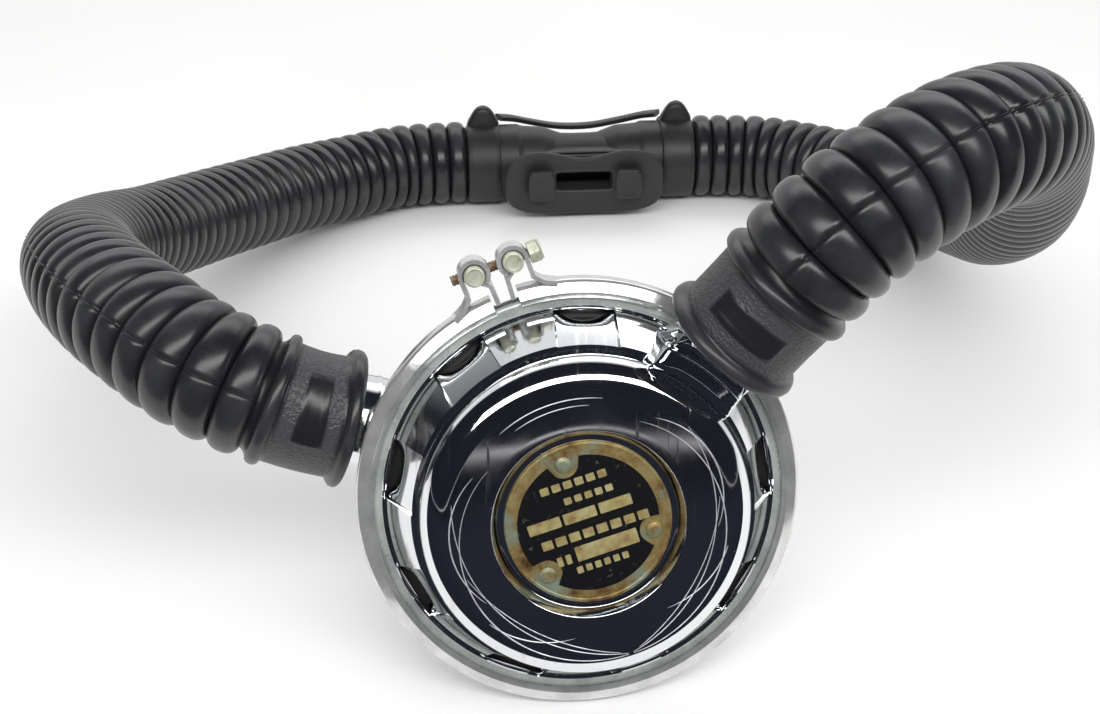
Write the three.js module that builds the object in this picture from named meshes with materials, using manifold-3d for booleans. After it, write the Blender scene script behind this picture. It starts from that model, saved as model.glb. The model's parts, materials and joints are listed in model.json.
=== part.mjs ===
// Twin-hose scuba regulator: a round regulator case on its clamp yoke, two corrugated
// breathing hoses and a rubber mouthpiece. Millimetres, +Z up, the front of the case
// looks along -Y and the mouthpiece lies behind it along +Y.
import * as THREE from 'three';
import { mergeVertices } from 'three/addons/utils/BufferGeometryUtils.js';
import Module from 'manifold-3d';

const wasm = await Module();
wasm.setup();

const DEG = Math.PI / 180;
const GAP = 0.3; // clearance between neighbouring solids
const SEGMENTS = 36; // facets round the case
const SMALL_SEGMENTS = 16; // facets round small turned pieces

// Where the two groups stand, and how the case leans on its knob
const CASE_CENTRE = [12.5, -172.2, 62.5];
const CASE_LEAN = 15.3 * DEG;
const CASE_YAW = 5.65 * DEG;
const CASE_ROLL = 16 * DEG;
const MOUTH_CENTRE = [18.7, 186, 20];
const MOUTH_YAW = 4.3 * DEG;

// Case, along its own axis: z = 0 is the clamp plane and +z is the front
const BAND_RADIUS = 64.5;
const BAND_HALF_WIDTH = 4.8;
const FLANGE_RADIUS = 60.8;
const FLANGE_OUT = 3.2;
const FLANGE_IN = 2.0;
const REAR_WALL_RADIUS = 46;
const REAR_DEPTH = 37.2;
const DISH_RADIUS = 56.2; // where the flat flange meets the dish wall
const DISH_TOP_RADIUS = 48.9;
const DISH_TOP = 16.2;
const CUP_RADIUS = 46.8;
const CUP_BACK = DISH_TOP + 0.3;
const CUP_FRONT = 27;
const PLATE_RADIUS = 23.4;
const SHEET = 1.2; // pressed brass sheet

// Horns: the tubes that carry the hoses
const HORN_RADIUS = 14.2;
const HORN_BORE = 12.6;
const EXHAUST_HORN = { angle: 35 * DEG, tilt: 18 * DEG, radius: 62.5, z: 23.5 };
const INTAKE_HORN = { angle: 146.5 * DEG, tilt: 5 * DEG, radius: 68, z: -19 };
const SHOULDER_FRONT = 25; // flat front of the box that the exhaust horn grows from
const HORN_SLEEVE = 24; // how far the horn reaches into its hose

// Hoses
const HOSE_RADIUS = 20;
const HOSE_BORE_RADIUS = 15.8;
const HOSE_SIDES = 10;
const HOSE_STEPS = 22;
const RING_BORE = 18.4; // rings that bind the hoses to the mouthpiece
const RING_HALF = 7.8;
const RING_MIDDLE = 47.6;
const INTAKE_ROUTE = [
  [-54.4, -155, 77.2], [-69.5, -156.6, 82.2], [-96.8, -153, 93.4], [-119.8, -135, 99.2],
  [-136.8, -111, 97], [-149.8, -84, 91], [-158.8, -57, 82], [-163.3, -29, 72], [-163.8, -1, 62],
  [-159.3, 27, 52], [-151.8, 55, 44], [-141.8, 82.5, 37], [-128.8, 109, 31], [-113.8, 134.5, 26],
  [-94.3, 157, 22], [-69.8, 175, 20.4], [-41.1, 181.5, 20], [-23.2, 182.9, 20],
];
const EXHAUST_ROUTE = [
  [52.6, -178.1, 115.6], [62.3, -178.8, 128.3], [82.7, -177, 151.4], [107.2, -164, 163.2],
  [129.2, -142.5, 162], [143.2, -117, 151], [152.7, -93, 135.5], [161.2, -69, 117.5],
  [167.2, -45, 100], [171.2, -18.5, 84], [174.2, 9, 70], [177.2, 37, 58], [178.2, 66, 47],
  [176.7, 95, 37.5], [170.2, 124, 29.5], [156.7, 151, 24], [135.7, 173, 21.5],
  [108.9, 188.1, 20.3], [78.5, 190.5, 20], [60.6, 189.1, 20],
];

// First stage and yoke, behind the case
const BODY_RADIUS = 16;
const BODY_BACK = -64;
const SEAT_FACE = -80;
const YOKE_HALF_WIDTH = 27;
const YOKE_WINDOW = 18.5;
const YOKE_THICKNESS = 20;
const YOKE_BACK = -136;
const SCREW_TRAVEL = 8.75;
const KNOB_RADIUS = 21.9;
const KNOB_FRONT = YOKE_BACK - SCREW_TRAVEL - 0.6;
const KNOB_BACK = -160;

const finish = (color, roughness, metalness) =>
  new THREE.MeshStandardMaterial({ color, roughness, metalness });
const CHROME = finish(0xd4d8dc, 0.08, 1);
const BRASS = finish(0xb08d4a, 0.35, 1);
const STEEL = finish(0xb8babd, 0.3, 1);
const ZINC = finish(0xb9bda6, 0.45, 0.9);
const RUBBER = finish(0x1c1d20, 0.6, 0);
const ENAMEL = finish(0x15130f, 0.35, 0.2);

// ---------- geometry helpers ----------

function signedVolume(geometry) {
  const p = geometry.getAttribute('position');
  const index = geometry.getIndex().array;
  const a = new THREE.Vector3();
  const b = new THREE.Vector3();
  const c = new THREE.Vector3();
  let volume = 0;
  for (let i = 0; i < index.length; i += 3) {
    a.fromBufferAttribute(p, index[i]);
    b.fromBufferAttribute(p, index[i + 1]);
    c.fromBufferAttribute(p, index[i + 2]);
    volume += a.dot(b.cross(c));
  }
  return volume;
}

// Shared vertices merged, faces pointing out
function welded(geometry) {
  const bare = geometry.clone();
  bare.deleteAttribute('normal');
  bare.deleteAttribute('uv');
  const merged = mergeVertices(bare, 1e-4);
  if (signedVolume(merged) < 0) {
    const index = merged.getIndex().array;
    for (let i = 0; i < index.length; i += 3) {
      [index[i], index[i + 1]] = [index[i + 1], index[i]];
    }
  }
  return merged;
}

function toSolid(geometry) {
  const g = welded(geometry);
  const vertProperties = new Float32Array(g.getAttribute('position').array);
  const triVerts = new Uint32Array(g.getIndex().array);
  return new wasm.Manifold(new wasm.Mesh({ numProp: 3, vertProperties, triVerts }));
}

function fromSolid(solid) {
  const mesh = solid.getMesh();
  const geometry = new THREE.BufferGeometry();
  geometry.setAttribute('position', new THREE.BufferAttribute(mesh.vertProperties, 3));
  geometry.setIndex(new THREE.BufferAttribute(mesh.triVerts, 1));
  return geometry;
}

function cut(geometry, ...tools) {
  return fromSolid(tools.reduce((s, t) => s.subtract(toSolid(t)), toSolid(geometry)));
}

function join(geometry, ...others) {
  return fromSolid(others.reduce((s, o) => s.add(toSolid(o)), toSolid(geometry)));
}

// A turned piece about the z axis from [radius, z] points. A profile that does not
// start on the axis is closed back to its first point.
function turned(profile, segments = SMALL_SEGMENTS) {
  const closed = profile[0][0] > 0 ? [...profile, profile[0]] : profile;
  const points = closed.map(([r, z]) => new THREE.Vector2(r, z));
  return new THREE.LatheGeometry(points, segments).rotateX(Math.PI / 2);
}

const disc = (radius, z0, z1, segments) =>
  turned([[0, z0], [radius, z0], [radius, z1], [0, z1]], segments);

const ring = (inner, outer, z0, z1, segments) =>
  turned([[inner, z0], [outer, z0], [outer, z1], [inner, z1]], segments);

function box(sx, sy, sz, x, y, z) {
  return new THREE.BoxGeometry(sx, sy, sz).translate(x, y, z);
}

function slab(shape, depth) {
  return new THREE.ExtrudeGeometry(shape, { depth, bevelEnabled: false, curveSegments: 8 });
}

// Turns a piece made along +z so that it lies along a direction from a point
function along(geometry, direction, point) {
  const turn = new THREE.Quaternion();
  turn.setFromUnitVectors(new THREE.Vector3(0, 0, 1), direction);
  return geometry.applyQuaternion(turn).translate(point.x, point.y, point.z);
}

function swept(section, curve, steps) {
  return new THREE.ExtrudeGeometry(section, { steps, extrudePath: curve });
}

function circleSection(outer, inner, sides) {
  const points = (r) => Array.from({ length: sides }, (_, i) => {
    const a = (i / sides) * 2 * Math.PI;
    return new THREE.Vector2(r * Math.cos(a), r * Math.sin(a));
  });
  const shape = new THREE.Shape(points(outer));
  if (inner > 0) shape.holes.push(new THREE.Path(points(inner)));
  return shape;
}

function coilSpring(radius, wire, z0, z1, turns) {
  class Helix extends THREE.Curve {
    getPoint(t, target = new THREE.Vector3()) {
      const a = t * turns * 2 * Math.PI;
      return target.set(radius * Math.cos(a), radius * Math.sin(a), z0 + (z1 - z0) * t);
    }
  }
  return swept(circleSection(wire, 0, 5), new Helix(), Math.round(turns * 10));
}

function curveThrough(points) {
  return new THREE.CatmullRomCurve3(points.map((p) => new THREE.Vector3(...p)));
}

function part(name, geometry, material) {
  const mesh = new THREE.Mesh(welded(geometry), material);
  mesh.name = name;
  return mesh;
}

function group(...children) {
  const g = new THREE.Group();
  g.add(...children);
  return g;
}

// ---------- case front ----------

const SLOT_COUNT = 9;
const SLOT_PITCH = 40 * DEG;
const SLOT_START = 90 * DEG - 18.5 * DEG; // the first slot, left of the exhaust horn
const SLOT_RADIUS = 54;

function frontCover() {
  const cover = turned([
    [9, DISH_TOP], [DISH_TOP_RADIUS, DISH_TOP], [DISH_RADIUS, FLANGE_OUT],
    [FLANGE_RADIUS, FLANGE_OUT], [FLANGE_RADIUS, FLANGE_IN], [DISH_RADIUS - 0.8, FLANGE_IN],
    [DISH_TOP_RADIUS - 0.8, DISH_TOP - SHEET], [9, DISH_TOP - SHEET],
  ], SEGMENTS);
  const slots = [];
  for (let i = 0; i < SLOT_COUNT - 1; i += 1) {
    const a = SLOT_START + i * SLOT_PITCH;
    const slot = box(3.6, 17, 24, SLOT_RADIUS, 0, 5).rotateZ(a);
    slots.push(slot);
  }
  return part('front_cover', cut(cover, ...slots), CHROME);
}

function exhaustBox() {
  const lip = 8; // rounded shoulder of the cup
  const outer = [];
  const inner = [];
  for (let i = 0; i <= 3; i += 1) {
    const a = (i / 3) * 90 * DEG;
    outer.push([CUP_RADIUS - lip + lip * Math.cos(a), CUP_FRONT - lip + lip * Math.sin(a)]);
    const r = lip - SHEET;
    inner.push([CUP_RADIUS - lip + r * Math.cos(a), CUP_FRONT - lip + r * Math.sin(a)]);
  }
  const recess = 3;
  const shell = turned([
    [0, CUP_FRONT - recess - SHEET], [26, CUP_FRONT - recess - SHEET], [28, CUP_FRONT - SHEET],
    ...inner.reverse(), [CUP_RADIUS - SHEET, CUP_BACK], [CUP_RADIUS, CUP_BACK], ...outer,
    [27, CUP_FRONT], [25, CUP_FRONT - recess], [0, CUP_FRONT - recess],
  ], SEGMENTS);
  const bore = along(disc(HORN_BORE, -34, 2, SMALL_SEGMENTS), ...hornAxis(EXHAUST_HORN));
  const face = box(200, 200, 40, 0, 0, SHOULDER_FRONT + 18);
  return part('exhaust_box', cut(shell, cut(bore, face)), CHROME);
}

// Direction and reference point of a horn's centre line in the case's frame
function hornAxis({ angle, tilt, radius, z }) {
  const direction = new THREE.Vector3(
    Math.cos(angle) * Math.cos(tilt), Math.sin(angle) * Math.cos(tilt), Math.sin(tilt));
  const point = new THREE.Vector3(radius * Math.cos(angle), radius * Math.sin(angle), z);
  return [direction, point];
}

function exhaustHorn() {
  const shoulder = box(20, 28, SHOULDER_FRONT, 46, 0, SHOULDER_FRONT / 2)
    .rotateZ(EXHAUST_HORN.angle);
  const axis = hornAxis(EXHAUST_HORN);
  const hoseRoom = along(disc(26, -2, 60), ...axis);
  const pipe = along(disc(HORN_RADIUS, -16, HORN_SLEEVE), ...axis);
  const bore = along(disc(HORN_BORE, -40, HORN_SLEEVE + 1), ...axis);
  const cup = disc(CUP_RADIUS + GAP, -5, 60, SEGMENTS);
  const bandRoom = ring(50, BAND_RADIUS + 4, -10, BAND_HALF_WIDTH + 2.2, SEGMENTS);
  const coverRoom = turned(
    [[0, -20], [62, -20], [62, FLANGE_OUT + GAP], [DISH_RADIUS + GAP, FLANGE_OUT + GAP],
      [DISH_TOP_RADIUS + GAP, DISH_TOP + GAP], [0, DISH_TOP + GAP]], SEGMENTS);
  const horn = cut(join(cut(shoulder, hoseRoom), pipe), bore, cup, bandRoom, coverRoom);
  return part('exhaust_horn', horn, CHROME);
}

function namePlate() {
  const z = CUP_FRONT - 3 + GAP;
  return part('name_plate', disc(PLATE_RADIUS, z, z + 0.8, 36), ENAMEL);
}

function plateRivets() {
  const z = CUP_FRONT - 3 + GAP + 0.8 + GAP;
  return [0, 1, 2].map((i) => {
    const a = (90 + 5 + i * 120) * DEG;
    const head = turned([[0, z], [2.4, z], [2, z + 0.7], [1.1, z + 1.1], [0, z + 1.2]], 12);
    head.translate(18.6 * Math.cos(a), 18.6 * Math.sin(a), 0);
    return part(`plate_rivet_${i + 1}`, head, BRASS);
  });
}

// Seat and flap are laid out from the face of the cover, then moved up to it
function exhaustValve() {
  const seat = ring(6.6, 8.6, -2.1, 0.5, SMALL_SEGMENTS);
  const flange = ring(6.6, 13, 0.35, 1.7, SMALL_SEGMENTS);
  const spokes = [0, 60, 120].map((a) => box(14, 1.4, 1.6, 0, 0, 0.7).rotateZ(a * DEG));
  const stemHole = disc(1.7, -9, 11, 12);
  const hub = disc(3, -0.1, 1.5, 12);
  const seatBody = cut(join(seat, flange, ...spokes, hub), stemHole);
  const flap = turned([
    [0, -4.8], [4, -4.6], [11.6, -3.4], [11.6, -2.6], [1.3, -3.4], [1.3, 3.8], [2.4, 3.9],
    [1.2, 6], [0, 6],
  ]);
  seatBody.translate(0, 0, DISH_TOP);
  flap.translate(0, 0, DISH_TOP);
  return [
    part('exhaust_valve_seat', seatBody, BRASS),
    part('exhaust_valve', flap, RUBBER),
  ];
}

function diaphragm() {
  const skirt = turned([
    [25, -0.6], [30, -0.6], [36, 1.4], [42, 1.4], [48, -0.6], [57, -0.6], [57, -1.7],
    [FLANGE_RADIUS, -1.7], [FLANGE_RADIUS, 1.7], [57, 1.7], [57, 0.6], [48, 0.6], [42, 2.6],
    [36, 2.6], [30, 0.6], [25, 0.6],
  ], SEGMENTS);
  const plate = turned([
    [0, -0.6], [22, -0.6], [24.5, -0.2], [24.5, 0.9], [21.6, 0.5], [0, 0.5],
  ], 36);
  return [
    part('diaphragm', skirt, RUBBER),
    part('diaphragm_plate', plate, STEEL),
  ];
}

// ---------- clamp ----------

const CLAMP_ANGLE = (90 + 2.3) * DEG;
const NUT_RADIUS = 3.6;
const NUT_SPREAD = 5.75;
const NUT_HEIGHT = BAND_RADIUS + 7.6;

// Loop of band that wraps a barrel nut, its axis along the case axis
function bandLoop(side) {
  const eye = ring(NUT_RADIUS + GAP, NUT_RADIUS + 1.3, -BAND_HALF_WIDTH, BAND_HALF_WIDTH, 16)
    .translate(side * NUT_SPREAD, NUT_HEIGHT, 0);
  const neck = box(2.4, 8, 2 * BAND_HALF_WIDTH, side * 3.2, NUT_HEIGHT - 6.6, 0);
  return [eye, neck];
}

function clampBand() {
  const w = BAND_HALF_WIDTH;
  const band = turned([
    [FLANGE_RADIUS + GAP, FLANGE_OUT + GAP], [59, FLANGE_OUT + GAP], [59.6, w], [62, w],
    [64, 2.8], [BAND_RADIUS, 0], [64, -2.8], [62, -w], [59.6, -w], [59, -FLANGE_OUT - GAP],
    [FLANGE_RADIUS + GAP, -FLANGE_OUT - GAP],
  ], SEGMENTS);
  const opening = box(8, 14, 30, 0, BAND_RADIUS - 1, 0);
  const loops = [-1, 1].flatMap(bandLoop);
  const boltWay = disc(1.9, -30, 30, 12).rotateY(Math.PI / 2).translate(0, NUT_HEIGHT, 0);
  const nutRoom = [-1, 1].map((s) => disc(NUT_RADIUS + GAP, -20, 20, 16)
    .translate(s * NUT_SPREAD, NUT_HEIGHT, 0));
  const whole = cut(join(cut(band, opening), ...loops), boltWay, ...nutRoom);
  return part('clamp_band', whole.rotateZ(CLAMP_ANGLE - 90 * DEG), CHROME);
}

function clampNut(name, side) {
  const nut = disc(NUT_RADIUS, -BAND_HALF_WIDTH - 1.2, BAND_HALF_WIDTH + 1.2, 16)
    .translate(side * NUT_SPREAD, NUT_HEIGHT, 0);
  const hole = disc(1.9, -30, 30, 12).rotateY(Math.PI / 2).translate(0, NUT_HEIGHT, 0);
  return part(name, cut(nut, hole).rotateZ(CLAMP_ANGLE - 90 * DEG), ZINC);
}

function clampBolt() {
  const shank = disc(1.55, -12.6, 11.2, 12);
  const head = disc(3.4, 11, 14.6, 6);
  const bolt = join(shank, head).rotateY(Math.PI / 2).translate(0, NUT_HEIGHT, 0);
  return part('clamp_bolt', bolt.rotateZ(CLAMP_ANGLE - 90 * DEG), ZINC);
}

// ---------- case rear ----------

function rearBox() {
  const back = -REAR_DEPTH;
  const r = REAR_WALL_RADIUS;
  const shell = turned([
    [12.4, back], [r - 4, back], [r - 1.2, back + 1.2], [r, back + 4], [r, -FLANGE_OUT - 1],
    [r + 1, -FLANGE_OUT], [FLANGE_RADIUS, -FLANGE_OUT], [FLANGE_RADIUS, -FLANGE_IN],
    [r - SHEET, -FLANGE_IN], [r - SHEET, back + 4.5], [r - 4.5, back + SHEET],
    [12.4, back + SHEET],
  ], SEGMENTS);
  const port = along(disc(HORN_BORE, -40, 2), ...hornAxis(INTAKE_HORN));
  return part('rear_box', cut(shell, port), CHROME);
}

function intakeHorn() {
  const axis = hornAxis(INTAKE_HORN);
  const pipe = along(disc(HORN_RADIUS, -34, HORN_SLEEVE), ...axis);
  const bore = along(disc(HORN_BORE, -50, HORN_SLEEVE + 1), ...axis);
  const wall = disc(REAR_WALL_RADIUS + GAP, -60, 10, SEGMENTS);
  return part('intake_horn', cut(pipe, bore, wall), CHROME);
}

// ---------- first stage ----------

function firstStageBody() {
  const profile = [
    [9.2, -29], [12, -29], [12, -36.5 - SHEET], [BODY_RADIUS, -36.5 - SHEET - 0.1],
    [BODY_RADIUS, BODY_BACK + 2], [BODY_RADIUS - 2, BODY_BACK], [9.6, BODY_BACK],
    [9.6, -62], [6, -62], [6, -55.5], [2, -55.5], [2, -52.5], [7, -52.5], [7, -49],
    [9.2, -49],
  ];
  return part('first_stage_body', turned(profile, 20), BRASS);
}

function firstStageInner() {
  const cap = turned([[3, -30], [8.8, -30], [8.8, -34], [3, -34]], 20);
  const pad = turned([[0, -46.6], [6.4, -46.6], [6.4, -45.4], [2, -45.4], [2, -43], [0, -43]]);
  return [
    part('adjusting_cap', cap, BRASS),
    part('main_spring', coilSpring(5.6, 1, -44.2, -35.3, 3.5), STEEL),
    part('spring_pad', pad, BRASS),
    part('first_stage_diaphragm', disc(8.8, -48.6, -47, 20), RUBBER),
    part('transfer_pin', disc(0.9, -55.6, -49, 10), STEEL),
    part('high_pressure_valve', turned([[0, -59.4], [2, -59.4], [2, -58.4], [4, -58.4],
      [4, -56], [0, -56]], 16), BRASS),
    part('valve_spring', coilSpring(3.2, 0.5, -64.2, -59.7, 3), STEEL),
  ];
}

function yokeRetainer() {
  const outline = turned([
    [4.2, -66.2], [9.2, -66.2], [9.2, -72.3], [13.8, -72.3], [13.8, SEAT_FACE + 1],
    [12.8, SEAT_FACE], [8.6, SEAT_FACE], [8.6, SEAT_FACE + 1.8], [6, SEAT_FACE + 1.8],
    [6, SEAT_FACE], [4.2, SEAT_FACE],
  ], 20);
  return part('yoke_retainer', outline, CHROME);
}

function inletPieces() {
  const oRing = new THREE.TorusGeometry(7.3, 0.8, 6, 20).translate(0, 0, SEAT_FACE + 0.7);
  const filter = turned([[0, -76], [3.8, -76], [3.8, -67], [2.4, -67], [0, -67]], 16);
  return [part('inlet_o_ring', oRing, RUBBER), part('inlet_filter', filter, BRASS)];
}

// ---------- yoke ----------

function yokeOutline(halfWidth, z0, z1, corner) {
  const shape = new THREE.Shape();
  shape.moveTo(-halfWidth + corner, z0);
  shape.lineTo(halfWidth - corner, z0);
  shape.quadraticCurveTo(halfWidth, z0, halfWidth, z0 + corner);
  shape.lineTo(halfWidth, z1 - corner);
  shape.quadraticCurveTo(halfWidth, z1, halfWidth - corner, z1);
  shape.lineTo(-halfWidth + corner, z1);
  shape.quadraticCurveTo(-halfWidth, z1, -halfWidth, z1 - corner);
  shape.lineTo(-halfWidth, z0 + corner);
  shape.quadraticCurveTo(-halfWidth, z0, -halfWidth + corner, z0);
  return shape;
}

function yoke() {
  const outline = yokeOutline(YOKE_HALF_WIDTH, YOKE_BACK, BODY_BACK - GAP, 10);
  outline.holes.push(yokeOutline(YOKE_WINDOW, YOKE_BACK + 13, BODY_BACK - GAP - 7.7, 5));
  const frame = slab(outline, YOKE_THICKNESS)
    .translate(0, 0, -YOKE_THICKNESS / 2)
    .rotateX(Math.PI / 2);
  const retainerHole = disc(9.6, -75, -60, 24);
  const screwHole = disc(7.2, YOKE_BACK - 1, YOKE_BACK + 16, 20);
  return part('yoke', cut(frame, retainerHole, screwHole), CHROME);
}

function yokeScrew() {
  const tip = -118;
  const rod = turned([
    [0, KNOB_BACK + 2], [6.6, KNOB_BACK + 2], [6.6, tip - 3], [3, tip - 3], [3, tip - 0.6],
    [0, tip - 0.6],
  ], 20);
  const pad = turned([
    [0, tip + 3.5], [2.5, tip + 3.5], [5.6, tip], [5.6, tip - 2.6], [3.4, tip - 2.6],
    [3.4, tip - 0.3], [0, tip - 0.3],
  ], 20);
  const knob = turned([
    [6.9, KNOB_FRONT], [17, KNOB_FRONT], [KNOB_RADIUS, KNOB_FRONT - 3],
    [KNOB_RADIUS, KNOB_BACK + 3], [KNOB_RADIUS - 3, KNOB_BACK], [6.9, KNOB_BACK],
  ], 30);
  return [
    part('yoke_screw', rod, STEEL),
    part('screw_pad', pad, STEEL),
    part('yoke_knob', knob, RUBBER),
  ];
}

// ---------- demand valve and levers, inside the rear box ----------

const LEVER_PIVOT = [11, -17];
const HEEL = -18.1; // underside of a lever's short arm, just over the valve pin

function demandValve() {
  const body = turned([[2, -28.6], [8, -28.6], [8, -24], [5, -22.6], [2, -22.6]]);
  const pin = turned([[0, -27], [1.2, -27], [1.2, -19.6], [2.4, -19.6], [2.4, -18.4],
    [0, -18.4]], 12);
  return [
    part('demand_valve_body', body, BRASS),
    part('demand_valve_pin', pin, STEEL),
  ];
}

// Two pairs of ears stand on a washer that is trapped under the valve body
function leverBracket() {
  const base = ring(8.4, 13.6, -25, -23.6, 24);
  const ears = [-1, 1].flatMap((side) => [-1, 1].map((end) =>
    box(5, 1.2, 11, side * LEVER_PIVOT[0], side * 3.2 + end * 3.4, -18.8)));
  const pinHoles = [-1, 1].map((side) => disc(1.05, -20, 20, 12).rotateX(Math.PI / 2)
    .translate(side * LEVER_PIVOT[0], 0, LEVER_PIVOT[1]));
  return part('lever_bracket', cut(join(base, ...ears), ...pinHoles), STEEL);
}

// The long arm reaches up under the diaphragm plate, the short one over the valve pin
function demandLever(name, side) {
  const [px, pz] = LEVER_PIVOT;
  const arm = new THREE.Shape();
  arm.moveTo(px + 1.8, pz - 1.6);
  arm.lineTo(px + 1.8, pz + 1.8);
  arm.lineTo(-3, -2.6);
  arm.lineTo(-6.4, -2.0);
  arm.lineTo(-6.4, -3.4);
  arm.lineTo(-3.6, -4);
  arm.lineTo(px - 3.4, pz + 1.6);
  arm.lineTo(px - 3.4, HEEL + 1.2);
  arm.lineTo(1.5, HEEL + 1.2);
  arm.lineTo(1.5, HEEL);
  arm.lineTo(px - 1, pz - 1.6);
  const width = 4.6;
  const lever = slab(arm, width).rotateX(Math.PI / 2).translate(0, 3.2 + width / 2, 0);
  const pinHole = disc(1.25, -20, 20, 12).rotateX(Math.PI / 2).translate(px, 0, pz);
  const whole = cut(lever, pinHole);
  if (side < 0) whole.rotateZ(Math.PI);
  return part(name, whole, STEEL);
}

function leverPin(name, side) {
  const pin = disc(0.85, -4.4, 4.4, 10).rotateX(Math.PI / 2)
    .translate(side * LEVER_PIVOT[0], side * 3.2, LEVER_PIVOT[1]);
  return part(name, pin, STEEL);
}

// ---------- hoses ----------

// The last stretch, on the mouthpiece, is thinner under the ring that binds it
function hose(name, route, side) {
  const section = circleSection(HOSE_RADIUS, HOSE_BORE_RADIUS, HOSE_SIDES);
  const whole = swept(section, curveThrough(route), HOSE_STEPS);
  const bound = ring(RING_BORE - GAP, 26, -RING_HALF - GAP, RING_HALF + GAP, 24)
    .rotateY(Math.PI / 2)
    .translate(side * RING_MIDDLE, 0, 0)
    .rotateZ(MOUTH_YAW)
    .translate(...MOUTH_CENTRE);
  return part(name, cut(whole, bound), RUBBER);
}

// ---------- mouthpiece, its tube along x and the bite opening towards -y ----------

const TUBE_HALF = 41.7; // moulded body, up to the hose ends
const BARREL_HALF = 62;

function mouthTube() {
  const half = (sign) => [
    [HORN_BORE, sign * BARREL_HALF], [HORN_RADIUS, sign * BARREL_HALF],
    [HORN_RADIUS, sign * TUBE_HALF], [18, sign * TUBE_HALF], [18, sign * 37],
    [15.6, sign * 35], [13.6, sign * 20],
  ];
  const profile = [
    ...half(-1), [12.8, 0], ...half(1).reverse(), [HORN_BORE, 40], [11, 14], [11, -14],
    [HORN_BORE, -40],
  ];
  const body = turned(profile, 20).rotateY(Math.PI / 2);
  const neck = box(40, 22, 19, 0, -14, 0);
  const clear = disc(11, -36, 36, 20).rotateY(Math.PI / 2);
  const passage = box(32, 30, 11, 0, -16, 0);
  return part('mouthpiece_tube', cut(join(body, neck), clear, passage), RUBBER);
}

function bitePiece() {
  const w = 38;
  const h = 17;
  const shield = new THREE.Shape();
  shield.moveTo(-w, -h + 7);
  shield.quadraticCurveTo(-w, -h, -w + 9, -h);
  shield.quadraticCurveTo(0, -h - 2, w - 9, -h);
  shield.quadraticCurveTo(w, -h, w, -h + 7);
  shield.lineTo(w, h - 7);
  shield.quadraticCurveTo(w, h, w - 9, h);
  shield.quadraticCurveTo(0, h - 6, -w + 9, h);
  shield.quadraticCurveTo(-w, h, -w, h - 7);
  const shieldPlate = slab(shield, 3).rotateX(Math.PI / 2).translate(0, -25.4, 0);
  const collar = box(44, 9, 23, 0, -22.2, 0);
  const tabs = [-1, 1].map((s) => box(7, 8, 13, s * 21, -31, 0));
  const neckRoom = box(40.8, 40, 19.8, 0, -5.2, 0);
  const passage = box(27, 60, 8.4, 0, -25, 0);
  const piece = cut(join(shieldPlate, collar, ...tabs), neckRoom, passage);
  return part('bite_piece', piece, RUBBER);
}

function biteBand() {
  const outer = box(47.4, 4, 26.4, 0, -20.6, 0);
  const inner = box(44.7, 8, 23.7, 0, -20.6, 0);
  return part('bite_band', cut(outer, inner), RUBBER);
}

function checkValve(name, side, opens) {
  const seatX = side * 47;
  const seatRing = ring(8.6, HORN_BORE - GAP, -1, 1, 20);
  const spokes = [0, 60, 120].map((a) => box(19, 1.4, 1.4, 0, 0, 0).rotateZ(a * DEG));
  const hole = disc(1.1, -9, 9, 10);
  const seat = cut(join(seatRing, disc(2.6, -0.7, 0.7, 12), ...spokes), hole);
  const flap = turned([[0, 1.3], [9.8, 1.3], [9.8, 2.1], [0, 2.1]], 20);
  const stem = disc(0.75, -3, 1.6, 10);
  const place = (g) => g.rotateY((opens * Math.PI) / 2).translate(seatX, 0, 0);
  return [
    part(`${name}_seat`, place(seat), BRASS),
    part(`${name}_flap`, place(join(flap, stem)), RUBBER),
  ];
}

// A ring that binds the hose end to the tube, with an upstanding ear for the strap
function strapRing(name, side) {
  const collar = ring(RING_BORE, 20, -RING_HALF, RING_HALF, 24);
  const outline = new THREE.Shape();
  outline.moveTo(-RING_HALF, 17);
  outline.lineTo(RING_HALF, 17);
  outline.lineTo(RING_HALF, 20.2);
  outline.lineTo(3.4, 27);
  outline.quadraticCurveTo(0, 31, -3.4, 27);
  outline.lineTo(-RING_HALF, 20.2);
  const ear = slab(outline, 7).rotateY(Math.PI / 2).translate(-3.5, 0, 0);
  const bore = disc(RING_BORE, -10, 10, 24);
  const piece = cut(join(collar, ear), bore)
    .rotateX(Math.PI / 2)
    .rotateZ(Math.PI / 2)
    .translate(side * RING_MIDDLE, 0, 0);
  return part(name, piece, RUBBER);
}

function neckStrap() {
  const route = curveThrough([
    [-37, 8.6, 20.4], [-32.6, 12.2, 18.6], [-24, 16.8, 14.1], [-10, 20, 10.2], [6, 20.5, 9.7],
    [22, 17.4, 13.5], [32.6, 12.2, 18.6], [37, 8.6, 20.4],
  ]);
  const section = new THREE.Shape();
  section.moveTo(-3.2, -1);
  section.lineTo(3.2, -1);
  section.lineTo(3.2, 1);
  section.lineTo(-3.2, 1);
  return part('neck_strap', swept(section, route, 16), RUBBER);
}

// ---------- assembly ----------

const caseBody = group(
  frontCover(), exhaustBox(), exhaustHorn(), namePlate(), ...plateRivets(),
  ...exhaustValve(), ...diaphragm(), clampBand(), clampNut('clamp_nut_left', -1),
  clampNut('clamp_nut_right', 1), clampBolt(), rearBox(), intakeHorn(), firstStageBody(),
  ...firstStageInner(), yokeRetainer(), ...inletPieces(), yoke(), ...yokeScrew(),
  ...demandValve(), leverBracket(), demandLever('demand_lever_1', 1),
  demandLever('demand_lever_2', -1), leverPin('lever_pin_1', 1), leverPin('lever_pin_2', -1),
);
caseBody.rotation.z = CASE_ROLL;

const casePosture = group(caseBody);
casePosture.rotation.set(90 * DEG - CASE_LEAN, 0, CASE_YAW, 'ZXY');
casePosture.position.set(...CASE_CENTRE);

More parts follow.
